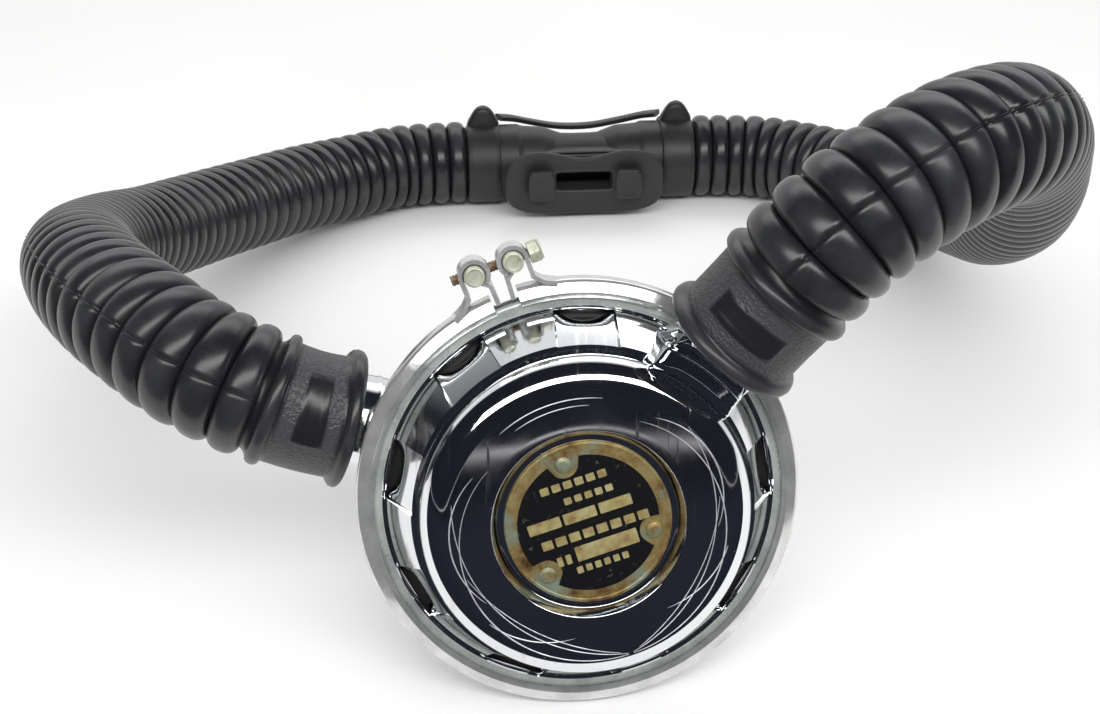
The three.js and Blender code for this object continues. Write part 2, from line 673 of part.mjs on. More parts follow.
const mouthpiece = group(
  mouthTube(), bitePiece(), biteBand(), ...checkValve('intake_check', -1, 1),
  ...checkValve('exhaust_check', 1, 1), strapRing('strap_ring_left', -1),
  strapRing('strap_ring_right', 1), neckStrap(),
);
mouthpiece.rotation.z = MOUTH_YAW;
mouthpiece.position.set(...MOUTH_CENTRE);

const regulator = group(
  casePosture, mouthpiece, hose('intake_hose', INTAKE_ROUTE, -1),
  hose('exhaust_hose', EXHAUST_ROUTE, 1),
);

export default regulator;
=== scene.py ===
import json
from math import asin, cos, hypot, pi, radians, sin, sqrt, tan

import bmesh
import bpy
import numpy as np
from mathutils import Matrix, Vector


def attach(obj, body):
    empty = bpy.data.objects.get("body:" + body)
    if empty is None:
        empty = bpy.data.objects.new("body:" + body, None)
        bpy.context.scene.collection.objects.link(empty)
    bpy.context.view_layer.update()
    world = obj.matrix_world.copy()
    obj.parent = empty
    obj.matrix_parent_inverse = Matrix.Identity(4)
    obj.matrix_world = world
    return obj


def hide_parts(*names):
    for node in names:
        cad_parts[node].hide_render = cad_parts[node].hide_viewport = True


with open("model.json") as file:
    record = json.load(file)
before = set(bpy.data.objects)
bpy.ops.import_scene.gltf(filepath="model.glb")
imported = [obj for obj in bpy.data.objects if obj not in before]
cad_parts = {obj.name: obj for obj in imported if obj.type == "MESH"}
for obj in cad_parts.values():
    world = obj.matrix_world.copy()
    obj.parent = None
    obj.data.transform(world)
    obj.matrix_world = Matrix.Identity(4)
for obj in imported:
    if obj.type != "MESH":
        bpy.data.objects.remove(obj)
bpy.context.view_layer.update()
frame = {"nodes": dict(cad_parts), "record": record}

# Looks of the twin-hose regulator set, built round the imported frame. Shapes are laid out
# in millimetres in the frame of the case or of the mouthpiece, as in the CAD part, and
# turned into metres when their mesh is made.

MM = 0.001
SCENE = bpy.context.scene

# ---------- sizes, in millimetres ----------

CASE_CENTRE = (12.5, -172.2, 62.5)
CASE_LEAN = radians(15.3)
CASE_YAW = radians(5.65)
CASE_ROLL = radians(16)
MOUTH_CENTRE = (18.7, 186, 20)
MOUTH_YAW = radians(4.3)

BAND_RADIUS = 64.5
BAND_HALF_WIDTH = 4.8
BAND_GAP = 8
FLANGE_RADIUS = 60.8
FLANGE_FRONT = 3.2
DISH_RADIUS = 56.2
DISH_TOP_RADIUS = 48.9
DISH_TOP = 16.2
SHEET = 1.0
CUP_RADIUS = 46.8
CUP_BACK = 16.5
CUP_FRONT = 27
CUP_SHOULDER = 8
RECESS_DEPTH = 3
PLATE_RADIUS = 23.4
PLATE_BACK = CUP_FRONT - RECESS_DEPTH + 0.3

SLOT_COUNT = 8
SLOT_PITCH = radians(40)
SLOT_START = radians(71.5)
SLOT_HALF_WIDTH = 8.9

HORN_RADIUS = 14.2
HORN_BORE = 12.6
HORN_SLEEVE = 24
EXHAUST_HORN = {"angle": radians(35), "tilt": radians(18), "radius": 62.5, "z": 23.5}
INTAKE_HORN = {"angle": radians(146.5), "tilt": radians(5), "radius": 68, "z": -19}

HOSE_CREST = 20
HOSE_GROOVE = 16.7
HOSE_BORE = 14.5
HOSE_PITCH = 8.75
CUFF_LENGTH = 28
INTAKE_ROUTE = [
    (-54.4, -155, 77.2), (-69.5, -156.6, 82.2), (-96.8, -153, 93.4), (-119.8, -135, 99.2),
    (-136.8, -111, 97), (-149.8, -84, 91), (-158.8, -57, 82), (-163.3, -29, 72), (-163.8, -1, 62),
    (-159.3, 27, 52), (-151.8, 55, 44), (-141.8, 82.5, 37), (-128.8, 109, 31), (-113.8, 134.5, 26),
    (-94.3, 157, 22), (-69.8, 175, 20.4), (-41.1, 181.5, 20), (-23.2, 182.9, 20),
]
EXHAUST_ROUTE = [
    (52.6, -178.1, 115.6), (62.3, -178.8, 128.3), (82.7, -177, 151.4), (107.2, -164, 163.2),
    (129.2, -142.5, 162), (143.2, -117, 151), (152.7, -93, 135.5), (161.2, -69, 117.5),
    (167.2, -45, 100), (171.2, -18.5, 84), (174.2, 9, 70), (177.2, 37, 58), (178.2, 66, 47),
    (176.7, 95, 37.5), (170.2, 124, 29.5), (156.7, 151, 24), (135.7, 173, 21.5),
    (108.9, 188.1, 20.3), (78.5, 190.5, 20), (60.6, 189.1, 20),
]


# ---------- camera and light ----------

def make_camera():
    data = bpy.data.cameras.new("camera")
    data.sensor_width = 36
    data.lens = 52.36
    camera = bpy.data.objects.new("camera", data)
    SCENE.collection.objects.link(camera)
    camera.location = (0.0042, -0.559, 0.32625)
    camera.rotation_euler = (radians(60.59), 0, 0)
    SCENE.camera = camera


AMBIENT = 0.63
DARK_ROOM = (0.013, 0.0145, 0.021, 1)
PALE_WALL = (0.86, 0.87, 0.88, 1)
WALL_START = 0.36  # along y, where the dark room begins to turn into the wall
WALL_FULL = 0.48


def area_light(name, place, aim, width, depth, watts):
    data = bpy.data.lights.new(name, "AREA")
    data.shape = "RECTANGLE"
    data.size = width
    data.size_y = depth
    data.energy = watts
    light = bpy.data.objects.new(name, data)
    SCENE.collection.objects.link(light)
    light.location = place
    light.rotation_euler = (Vector(aim) - Vector(place)).to_track_quat("-Z", "Y").to_euler()


def make_world():
    """Even white light on the scene; glossy rays see a dark room in front and a pale back wall"""
    world = bpy.data.worlds.new("studio")
    SCENE.world = world
    world.use_nodes = True
    nodes = world.node_tree.nodes
    links = world.node_tree.links
    nodes.clear()
    output = nodes.new("ShaderNodeOutputWorld")
    even = nodes.new("ShaderNodeBackground")
    even.inputs["Color"].default_value = (1, 0.995, 0.985, 1)
    even.inputs["Strength"].default_value = AMBIENT
    room = nodes.new("ShaderNodeBackground")
    coords = nodes.new("ShaderNodeTexCoord")
    parts = nodes.new("ShaderNodeSeparateXYZ")
    ramp = nodes.new("ShaderNodeValToRGB")
    ramp.color_ramp.elements[0].position = WALL_START
    ramp.color_ramp.elements[0].color = DARK_ROOM
    ramp.color_ramp.elements[1].position = WALL_FULL
    ramp.color_ramp.elements[1].color = PALE_WALL
    path = nodes.new("ShaderNodeLightPath")
    mix = nodes.new("ShaderNodeMixShader")
    links.new(coords.outputs["Generated"], parts.inputs[0])
    links.new(parts.outputs["Y"], ramp.inputs[0])
    links.new(ramp.outputs["Color"], room.inputs["Color"])
    links.new(path.outputs["Is Glossy Ray"], mix.inputs[0])
    links.new(even.outputs[0], mix.inputs[1])
    links.new(room.outputs[0], mix.inputs[2])
    links.new(mix.outputs[0], output.inputs["Surface"])


# ---------- curves and meshes ----------

def catmull_points(points, per_span=24):
    """Points along the same centripetal curve that the CAD part sweeps its hoses along"""
    p = [Vector(q) for q in points]
    ends = [2 * p[0] - p[1]] + p + [2 * p[-1] - p[-2]]
    out = []
    for i in range(1, len(ends) - 2):
        a, b, c, d = ends[i - 1:i + 3]
        ab, bc, cd = sqrt((b - a).length), sqrt((c - b).length), sqrt((d - c).length)
        leave = ((b - a) / ab - (c - a) / (ab + bc) + (c - b) / bc) * bc
        arrive = ((c - b) / bc - (d - b) / (bc + cd) + (d - c) / cd) * bc
        for k in range(per_span):
            t = k / per_span
            out.append(b + leave * t + (3 * (c - b) - 2 * leave - arrive) * t ** 2
                       + (2 * (b - c) + leave + arrive) * t ** 3)
    out.append(p[-1])
    return np.array(out)


def stations(path, places):
    """Points, directions and steady cross axes of a path at these distances along it"""
    steps = np.linalg.norm(np.diff(path, axis=0), axis=1)
    reach = np.concatenate([[0], np.cumsum(steps)])
    places = np.clip(places, 0, reach[-1])
    centres = np.stack([np.interp(places, reach, path[:, k]) for k in range(3)], axis=1)
    ahead = np.stack([np.interp(places + 0.5, reach, path[:, k]) for k in range(3)], axis=1)
    behind = np.stack([np.interp(places - 0.5, reach, path[:, k]) for k in range(3)], axis=1)
    tangents = ahead - behind
    tangents /= np.linalg.norm(tangents, axis=1)[:, None]
    side = Vector((0, 0, 1)).cross(Vector(tangents[0])).normalized()
    sides = []
    for t in tangents:
        side = (side - Vector(t) * side.dot(Vector(t))).normalized()
        sides.append(tuple(side))
    sides = np.array(sides)
    return centres, tangents, sides, np.cross(tangents, sides)


def rounded(corners, closed=True, steps=5):
    """An outline from (x, y, radius) corners, each corner turned into an arc"""
    out = []
    count = len(corners)
    for i, (x, y, radius) in enumerate(corners):
        if radius == 0 or (not closed and i in (0, count - 1)):
            out.append((x, y))
            continue
        corner = Vector((x, y))
        a = (Vector(corners[i - 1][:2]) - corner).normalized()
        b = (Vector(corners[(i + 1) % count][:2]) - corner).normalized()
        half = a.angle(b) / 2
        centre = corner + (a + b).normalized() * radius / sin(half)
        start = corner + a * radius / tan(half) - centre
        end = corner + b * radius / tan(half) - centre
        turn = pi - 2 * half
        for k in range(steps + 1):
            t = k / steps
            spoke = (start * sin((1 - t) * turn) + end * sin(t * turn)) / sin(turn)
            out.append(tuple(centre + spoke))
    return out


def grid_faces(rows, columns, wrap_rows=False, wrap_columns=False):
    faces = []
    for i in range(rows if wrap_rows else rows - 1):
        for j in range(columns if wrap_columns else columns - 1):
            right = (j + 1) % columns
            up = (i + 1) % rows
            faces.append((i * columns + j, i * columns + right,
                          up * columns + right, up * columns + j))
    return faces


def grid(points, wrap_rows=False, wrap_columns=False, caps=False):
    """Vertices and faces over an array of points[row][column]"""
    rows, columns = points.shape[:2]
    faces = grid_faces(rows, columns, wrap_rows, wrap_columns)
    if caps:
        faces.append(tuple(range(columns)))
        faces.append(tuple(range((rows - 1) * columns, rows * columns)))
    return points.reshape(-1, 3), faces


def turned(profile, segments=96):
    """A turned piece about z from (radius, z) points, closed unless it starts on the axis"""
    angles = np.linspace(0, 2 * pi, segments, endpoint=False)
    r = np.array([p[0] for p in profile])[:, None]
    z = np.array([p[1] for p in profile])[:, None]
    points = np.stack([r * np.cos(angles), r * np.sin(angles), z + 0 * angles], axis=2)
    return grid(points, wrap_rows=profile[0][0] > 0, wrap_columns=True)


def turned_arc(section, start, end, segments):
    """A closed section of (radius, z) points swept from one angle to another, with flat ends"""
    angles = np.linspace(start, end, segments)[:, None]
    r = np.array([p[0] for p in section])
    z = np.array([p[1] for p in section])
    points = np.stack([np.cos(angles) * r, np.sin(angles) * r, z + 0 * angles], axis=2)
    return grid(points, wrap_columns=True, caps=True)


def prism(outline, z0, z1):
    """An outline of (x, y) points pushed from z0 to z1"""
    points = np.array([[(x, y, z) for x, y in outline] for z in (z0, z1)], dtype=float)
    return grid(points, wrap_columns=True, caps=True)


def loft(sections):
    """A closed body through matching rings of points, with flat ends"""
    return grid(np.array(sections, dtype=float), wrap_columns=True, caps=True)


def soft_box(across, up, power, count):
    """Two arrays, the points of a rounded rectangle of these half sizes, squarer by power"""
    angles = np.linspace(0, 2 * pi, count, endpoint=False)
    c, s = np.cos(angles), np.sin(angles)
    reach = (np.abs(c / across) ** power + np.abs(s / up) ** power) ** (-1 / power)
    return reach * c, reach * s


def joined(*shapes):
    """Several (vertices, faces) shapes as one"""
    vertices = []
    faces = []
    for points, polygons in shapes:
        offset = sum(len(v) for v in vertices)
        vertices.append(np.asarray(points, dtype=float))
        faces += [tuple(offset + i for i in face) for face in polygons]
    return np.concatenate(vertices), faces


def moved(shape, matrix):
    points, faces = shape
    m = np.array(matrix)
    return np.asarray(points) @ m[:3, :3].T + m[:3, 3], faces


def placed(x=0, y=0, z=0, turn=0, axis="Z"):
    return Matrix.Translation((x, y, z)) @ Matrix.Rotation(turn, 4, axis)


def make_mesh(name, shape, sharp=radians(35)):
    points, faces = shape
    mesh = bpy.data.meshes.new(name)
    mesh.from_pydata((np.asarray(points) * MM).tolist(), [], faces)
    work = bmesh.new()
    work.from_mesh(mesh)
    bmesh.ops.remove_doubles(work, verts=work.verts, dist=0.002 * MM)
    bmesh.ops.recalc_face_normals(work, faces=work.faces)
    work.to_mesh(mesh)
    work.free()
    mesh.shade_smooth()
    mesh.set_sharp_from_angle(angle=sharp)
    return mesh


def piece(name, shape, frame_matrix, material, slot, stands_for=(), body="root", **options):
    """A finished piece: its mesh, place, material, and the body it rides on"""
    mesh = make_mesh(name, shape, options.get("sharp", radians(35)))
    mesh.transform(frame_matrix)
    mesh.materials.append(material)
    obj = bpy.data.objects.new(name, mesh)
    SCENE.collection.objects.link(obj)
    if options.get("bevel"):
        bevel = obj.modifiers.new("edges", "BEVEL")
        bevel.width = options["bevel"] * MM
        bevel.segments = 3
        bevel.limit_method = "ANGLE"
        bevel.angle_limit = radians(options.get("bevel_angle", 35))
        bevel.harden_normals = False
    if options.get("weighted", True):
        obj.modifiers.new("normals", "WEIGHTED_NORMAL").keep_sharp = True
    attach(obj, body)
    if stands_for:
        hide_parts(*stands_for)
    return obj


def in_metres(point):
    return tuple(c * MM for c in point)


CASE = (Matrix.Translation(in_metres(CASE_CENTRE)) @ Matrix.Rotation(CASE_YAW, 4, "Z")
        @ Matrix.Rotation(pi / 2 - CASE_LEAN, 4, "X") @ Matrix.Rotation(CASE_ROLL, 4, "Z"))
MOUTH = Matrix.Translation(in_metres(MOUTH_CENTRE)) @ Matrix.Rotation(MOUTH_YAW, 4, "Z")


# ---------- materials ----------

class Finish:
    """A node material being put together round one Principled shader"""

    def __init__(self, name, **sockets):
        self.material = bpy.data.materials.new(name)
        self.material.use_nodes = True
        self.tree = self.material.node_tree
        self.shader = self.tree.nodes["Principled BSDF"]
        self.place = self.node("ShaderNodeTexCoord").outputs["Object"]
        for socket, value in sockets.items():
            self.set(socket.replace("_", " "), value)

    def set(self, socket, value):
        target = self.shader.inputs[socket]
        if isinstance(value, bpy.types.NodeSocket):
            self.tree.links.new(value, target)
        else:
            target.default_value = value

    def node(self, kind, inputs=None, **settings):
        made = self.tree.nodes.new(kind)
        for key, value in settings.items():
            setattr(made, key, value)
        for key, value in (inputs or {}).items():
            if isinstance(value, bpy.types.NodeSocket):
                self.tree.links.new(value, made.inputs[key])
            else:
                made.inputs[key].default_value = value
        return made

    def noise(self, scale, detail=3.0, roughness=0.5, place=None):
        made = self.node("ShaderNodeTexNoise", {
            "Vector": place or self.place, "Scale": scale, "Detail": detail,
            "Roughness": roughness})
        return made.outputs["Fac"]

    def cells(self, scale, place=None, feature="F1"):
        made = self.node("ShaderNodeTexVoronoi", {
            "Vector": place or self.place, "Scale": scale}, feature=feature)
        return made.outputs["Distance"]

    def stretched(self, x, y, z, turn=0.0):
        made = self.node("ShaderNodeMapping", {
            "Vector": self.place, "Scale": (x, y, z), "Rotation": (0, 0, turn)})
        return made.outputs["Vector"]

    def ramp(self, factor, *stops):
        made = self.node("ShaderNodeValToRGB", {"Fac": factor})
        elements = made.color_ramp.elements
        for i, (position, colour) in enumerate(stops):
            element = elements[i] if i < 2 else elements.new(position)
            element.position = position
            element.color = colour if len(colour) == 4 else (*colour, 1)
        return made.outputs["Color"]

    def span(self, factor, low, high, to_low=0.0, to_high=1.0):
        made = self.node("ShaderNodeMapRange", {
            "Value": factor, "From Min": low, "From Max": high, "To Min": to_low,
            "To Max": to_high})
        return made.outputs["Result"]

    def maths(self, operation, a, b=0.0):
        made = self.node("ShaderNodeMath", {0: a, 1: b}, operation=operation)
        return made.outputs[0]

    def blend(self, factor, a, b):
        made = self.node("ShaderNodeMix", data_type="RGBA")
        for index, value in ((0, factor), (6, a), (7, b)):
            if isinstance(value, bpy.types.NodeSocket):
                self.tree.links.new(value, made.inputs[index])
            elif index == 0:
                made.inputs[index].default_value = value
            else:
                made.inputs[index].default_value = (*value, 1)
        return made.outputs[2]

    def attribute(self, name):
        return self.node("ShaderNodeAttribute", attribute_name=name).outputs["Fac"]

    def bump(self, *layers):
        """Layers of (height, depth in millimetres), one on another"""
        normal = None
        for height, depth in layers:
            made = self.node("ShaderNodeBump", {"Height": height, "Distance": depth * MM})
            if normal:
                self.tree.links.new(normal, made.inputs["Normal"])
            normal = made.outputs["Normal"]
        self.set("Normal", normal)


def scratches(finish, scale, turn):
    """Thin straight marks in one direction: 1 on a mark, 0 elsewhere"""
    streaks = finish.noise(scale, 2.0, 0.6, finish.stretched(14, 0.6, 1, turn))
    return finish.span(streaks, 0.66, 0.72)


def chrome(name, colour=(0.80, 0.81, 0.83), smooth=0.035, pits=1.0):
    f = Finish(name, Metallic=1.0)
    haze = f.noise(60, 5, 0.6)
    specks = f.span(f.cells(420), 0.09, 0.05)
    rare = f.span(f.noise(90, 2), 0.52, 0.62)
    spots = f.maths("MULTIPLY", specks, rare)
    marks = f.maths("MAXIMUM", scratches(f, 30, 0.5), scratches(f, 26, 2.1))
    # worn pits and scratches: a duller colour and rougher
    shift_mask = f.maths("MAXIMUM", f.maths("MULTIPLY", spots, pits), f.maths("MULTIPLY", marks, 0.35))
    f.set("Base Color", f.blend(shift_mask, colour, (0.62, 0.60, 0.56)))
    rough = f.span(haze, 0.3, 0.7, smooth, smooth + 0.05)
    f.set("Roughness", f.maths("ADD", rough, f.maths("MULTIPLY", shift_mask, 0.25)))
    f.bump((spots, -0.03 * pits), (f.noise(25, 2), 0.02))
    return f.material


def mottled(name, metallic, cloud, stops, rough, bumps, rough_noise=None):
    """Metal in cloudy patches

    Takes the noise of its colour, the colour stops, one roughness or the two ends of its
    range, and bumps of (noise, depth). Its roughness follows the colour's noise by default.
    """
    f = Finish(name, Metallic=metallic)
    patches = f.noise(*cloud)
    f.set("Base Color", f.ramp(patches, *stops))
    if isinstance(rough, tuple):
        source = f.noise(*rough_noise) if rough_noise else patches
        rough = f.span(source, 0.3, 0.7, *rough)
    f.set("Roughness", rough)
    f.bump(*[(f.noise(*noise), depth) for noise, depth in bumps])
    return f.material


def worn_chrome(name, metallic, rough):
    """Plating dulled by handling, with light cloudy patches"""
    return mottled(name, metallic, (110, 5, 0.6),
                   [(0.3, (0.50, 0.51, 0.50)), (0.7, (0.74, 0.75, 0.74))], (rough, rough + 0.12),
                   [((900, 3), 0.01), ((120, 3), 0.03)])


def aged_brass(name):
    """Corroded brass: ochre with brown stains and pale green bloom"""
    f = Finish(name, Metallic=0.75)
    stain = f.noise(130, 6, 0.7)
    green = f.span(f.noise(90, 5, 0.6), 0.52, 0.66)
    base = f.ramp(stain, (0.32, (0.10, 0.045, 0.018)), (0.45, (0.30, 0.20, 0.075)),
                  (0.58, (0.46, 0.36, 0.15)), (0.72, (0.52, 0.46, 0.27)))
    f.set("Base Color", f.blend(green, base, (0.33, 0.40, 0.30)))
    f.set("Roughness", f.span(stain, 0.3, 0.7, 0.62, 0.4))
    f.bump((f.noise(500, 5, 0.7), 0.12), (stain, 0.1))
    return f.material


def black_enamel(name):
    f = Finish(name, Roughness=0.24)
    dust = f.span(f.noise(500, 5, 0.7), 0.62, 0.75)
    f.set("Base Color", f.blend(dust, (0.006, 0.006, 0.007), (0.10, 0.10, 0.09)))
    f.bump((f.noise(220, 3), 0.02))
    return f.material


def moulded_rubber(name, tone=0.009, grain=1.0, roughness=0.42):
    """Black rubber with a fine skin, faint dust, and a matter bloom in patches"""
    f = Finish(name, Specular_IOR_Level=0.5, Sheen_Weight=0.05)
    bloom = f.noise(38, 5, 0.6)
    dust = f.span(f.noise(900, 3, 0.6), 0.66, 0.78)
    skin = f.ramp(bloom, (0.3, (tone, tone, tone * 1.05)), (0.7, (tone * 1.8,) * 3))
    f.set("Base Color", f.blend(f.maths("MULTIPLY", dust, 0.35), skin, (0.12, 0.12, 0.118)))
    f.set("Roughness", f.span(bloom, 0.3, 0.7, roughness - 0.06, roughness + 0.1))
    f.bump((f.noise(1600, 3), 0.012 * grain), (f.noise(260, 3), 0.02 * grain))
    return f.material


def hose_rubber(name):
    """Hose rubber: crests painted lighter than the plain grooves, partly dust and partly a painted
    sheen, and stipple on the cuffs
    """
    f = Finish(name, Specular_IOR_Level=0.5)
    crest = f.attribute("crest")
    stipple = f.attribute("stipple")
    bloom = f.noise(45, 5, 0.6)
    # the crests painted lighter: dust in patches, and a painted sheen
    shift_mask = f.maths("MULTIPLY", f.span(bloom, 0.35, 0.7), crest)
    skin = f.blend(shift_mask, (0.011, 0.0115, 0.0135), (0.034, 0.035, 0.038))
    f.set("Base Color", f.blend(stipple, skin, (0.042, 0.043, 0.046)))
    gloss = f.span(bloom, 0.3, 0.7, 0.24, 0.38)
    f.set("Roughness", f.maths("ADD", gloss, f.maths("MULTIPLY", stipple, 0.12)))
    dots = f.maths("MULTIPLY", f.span(f.cells(1000), 0.6, 0.1), stipple)
    f.bump((dots, 0.2), (f.noise(1400, 3), 0.01), (f.noise(170, 3), 0.03))
    return f.material


# ---------- hoses ----------

def corrugation():
    """(distance, radius) points over one pitch, from groove to groove, crest fat and round"""
    points = []
    for k in range(12):
        u = 0.5 * sin(pi * (k / 12 - 0.5))
        rise = (1 - abs(2 * u) ** 2.4) ** 0.55
        points.append((HOSE_PITCH * (u + 0.5), HOSE_GROOVE + (HOSE_CREST - HOSE_GROOVE) * rise))
    return points


def bead(centre, height, half, base):
    """A round bead standing on a base radius"""
    points = []
    for k in range(7):
        a = pi * k / 6
        points.append((centre - half * cos(a), base + height * sin(a)))
    return points


CUFF_WAIST = 18.2
CUFF_PROFILE = (
    [(0.0, 15.6), (0.0, 17.6)] + bead(2.3, 2.35, 2.3, 18.4)
    + [(5.2 + 0.75 * k, CUFF_WAIST - 0.1 * sin(pi * k / 20)) for k in range(21)]
    + bead(23.8, 1.95, 2.1, 18.3)
    + [(26.6, 17.4), (27.4, HOSE_GROOVE + 0.1)]
)
BOUND_LENGTH = 14.8  # the smooth end under the ring on the mouthpiece
BOUND_PROFILE = [(0.0, 15.6), (0.0, 17.7), (0.4, 18), (13.2, 18), (13.9, 17.4)]


def hose_profile(length):
    """(distance, radius) points of the outside of a whole hose, from its cuff to its bound end"""
    body = length - CUFF_LENGTH - BOUND_LENGTH
    turns = round(body / HOSE_PITCH)
    stretch = body / (turns * HOSE_PITCH)
    points = list(CUFF_PROFILE)
    for i in range(turns):
        for s, r in corrugation():
            points.append((CUFF_LENGTH + (i * HOSE_PITCH + s) * stretch, r))
    points.append((length - BOUND_LENGTH, HOSE_GROOVE))
    points += [(length - s, r) for s, r in reversed(BOUND_PROFILE)]
    return np.array(points)


HOSE_SIDES = 100
SEAM_OFFSETS = [-0.04, -0.018, 0, 0.018, 0.04]
SEAM_HEIGHTS = [0, -0.28, 0.32, -0.28, 0]
LABEL_HALF_LENGTH = 3.2
LABEL_HALF_ANGLE = 0.6
LABEL_MIDDLE = 12.8
LABEL_HEIGHT = 0.55


def label_height(s, angle, label_angle):
    """A plain panel on the cuff with a raised border: 1 on the border, less inside"""
    off = np.abs((angle - label_angle + pi) % (2 * pi) - pi)
    inward = np.minimum(LABEL_HALF_LENGTH - np.abs(s - LABEL_MIDDLE),
                        (LABEL_HALF_ANGLE - off) * HOSE_CREST)
    return np.clip(inward / 0.4, 0, 1) - 0.6 * np.clip((inward - 0.9) / 0.4, 0, 1)


STIPPLE_START = 5
STIPPLE_END = 21.4
STIPPLE_FADE = 1.2
DUST_SHEEN_RADIUS = 18.2  # ribs are painted lighter outside this radius: some dust, and a painted sheen
DUST_SHEEN_RISE = 1.6
PATH_STEP = 0.004  # metres, the least between two points of a cord's path


def hose(name, route, node, seam_angle, label_angle):
    """A hollow corrugated hose with a mould seam, in the row frame"""
    path = catmull_points(route)
    length = float(np.linalg.norm(np.diff(path, axis=0), axis=1).sum())
    outside = hose_profile(length)
    inside = np.array([(s, HOSE_BORE) for s in np.linspace(length, 0, 61)])
    profile = np.concatenate([outside, inside])
    centres, _, sides, ups = stations(path, profile[:, 0])
    even = np.linspace(0.09, 2 * pi - 0.09, HOSE_SIDES - len(SEAM_OFFSETS))
    angles = np.concatenate([SEAM_OFFSETS, even]) + seam_angle
    seam = np.zeros(HOSE_SIDES)
    seam[:len(SEAM_HEIGHTS)] = SEAM_HEIGHTS
    s = profile[:, 0][:, None]
    outer = (np.arange(len(profile)) < len(outside))[:, None]
    panel = label_height(s, angles, label_angle) * outer
    ridge = seam * outer * (s > CUFF_LENGTH) * (s < length - BOUND_LENGTH)
    radius = profile[:, 1][:, None] + ridge + LABEL_HEIGHT * panel
    points = (centres[:, None, :] + (radius * np.cos(angles))[:, :, None] * sides[:, None, :]
              + (radius * np.sin(angles))[:, :, None] * ups[:, None, :])
    shape = grid(points, wrap_rows=True, wrap_columns=True)
    on_cuff = (np.clip((s - STIPPLE_START) / STIPPLE_FADE, 0, 1)
               * np.clip((STIPPLE_END - s) / STIPPLE_FADE, 0, 1) * outer)
    # crest share: the hose material paints these ribs lighter, dust with a painted sheen
    crest = np.clip((profile[:, 1] - DUST_SHEEN_RADIUS) / DUST_SHEEN_RISE, 0, 1)[:, None] + 0 * angles
    obj = piece(name, shape, Matrix.Identity(4), RUBBER_HOSE, "hose_rubber", [node],
                sharp=radians(80), weighted=False)
    add_attribute(obj.data, "stipple", (on_cuff * (panel <= 0)).ravel())
    add_attribute(obj.data, "crest", crest.ravel())
    line = centres[:len(outside)] * MM
    spaced = [line[0]]
    for point in line[1:]:
        if np.linalg.norm(point - spaced[-1]) > PATH_STEP:
            spaced.append(point)
    spaced.append(line[-1])


def add_attribute(mesh, name, values):
    attribute = mesh.attributes.new(name, "FLOAT", "POINT")
    attribute.data.foreach_set("value", np.asarray(values, dtype=np.float32))


# ---------- case front ----------

SCOOP_COLUMNS = 33
GAP_STEPS = 12
WIDE_GAP_STEPS = 30


def front_columns():
    """Column plan round the cover: (scoop index or None, place in the scoop or share of the gap)"""
    across = np.linspace(-1, 1, SCOOP_COLUMNS)
    plan = []
    for i in range(SLOT_COUNT):
        plan += [("scoop", i, float(u)) for u in across]
        steps = GAP_STEPS if i < SLOT_COUNT - 1 else WIDE_GAP_STEPS
        plan += [("gap", i, k / steps) for k in range(1, steps)]
    return plan


def column_angle(kind, i, value, radius):
    centre = SLOT_START + i * SLOT_PITCH
    edge = asin(SLOT_HALF_WIDTH / radius)
    if kind == "scoop":
        return centre + asin(value * SLOT_HALF_WIDTH / radius)
    pitch = SLOT_PITCH if i < SLOT_COUNT - 1 else 2 * pi - (SLOT_COUNT - 1) * SLOT_PITCH
    return centre + edge + value * (pitch - 2 * edge)


def scoop_place(i, value, out):
    """x and y of a point on the straight line across a scoop, this far out from the axis"""
    across = value * SLOT_HALF_WIDTH
    centre = SLOT_START + i * SLOT_PITCH
    return out * cos(centre) - across * sin(centre), out * sin(centre) + across * cos(centre)


LAND_DEPTH = 0.9
SLIT_DEPTH = 2.6
SLIT_SHARE = 0.84  # of the scoop's width
LIP_SHARE = 0.42  # of the wall's height
SATIN_INNER = 56.9  # the flange is satin outside this radius


def dish_point(kind, i, value, v):
    """A point of the dish wall, v from 0 at the flange to 1 at the top, pressed in at scoops"""
    radius = DISH_RADIUS + (DISH_TOP_RADIUS - DISH_RADIUS) * v
    z = FLANGE_FRONT + (DISH_TOP - FLANGE_FRONT) * v
    angle = column_angle(kind, i, value, radius)
    if kind == "gap" or abs(value) == 1:
        return (radius * cos(angle), radius * sin(angle), z)
    chord = sqrt(radius ** 2 - SLOT_HALF_WIDTH ** 2)
    depth = LAND_DEPTH * min(1, (1 - abs(value)) / 0.05) + scoop_depth(value, v)
    run, rise = DISH_RADIUS - DISH_TOP_RADIUS, DISH_TOP - FLANGE_FRONT
    slope = hypot(run, rise)
    return (*scoop_place(i, value, chord - depth * rise / slope), z - depth * run / slope)


def scoop_depth(u, v):
    """How far the slit's lip is curled in below the scoop's flat: a half-moon by the flange"""
    w = abs(u) / SLIT_SHARE
    if w >= 1:
        return 0
    return SLIT_DEPTH * (1 - w * w) * max(0, 1 - v / LIP_SHARE) ** 1.7


def level_ring(plan, r, z, aim):
    """A ring of the cover's columns at radius r, at the angles they have at the radius aim"""
    angles = [column_angle(*column, aim) for column in plan]
    return [(r * cos(a), r * sin(a), z) for a in angles]


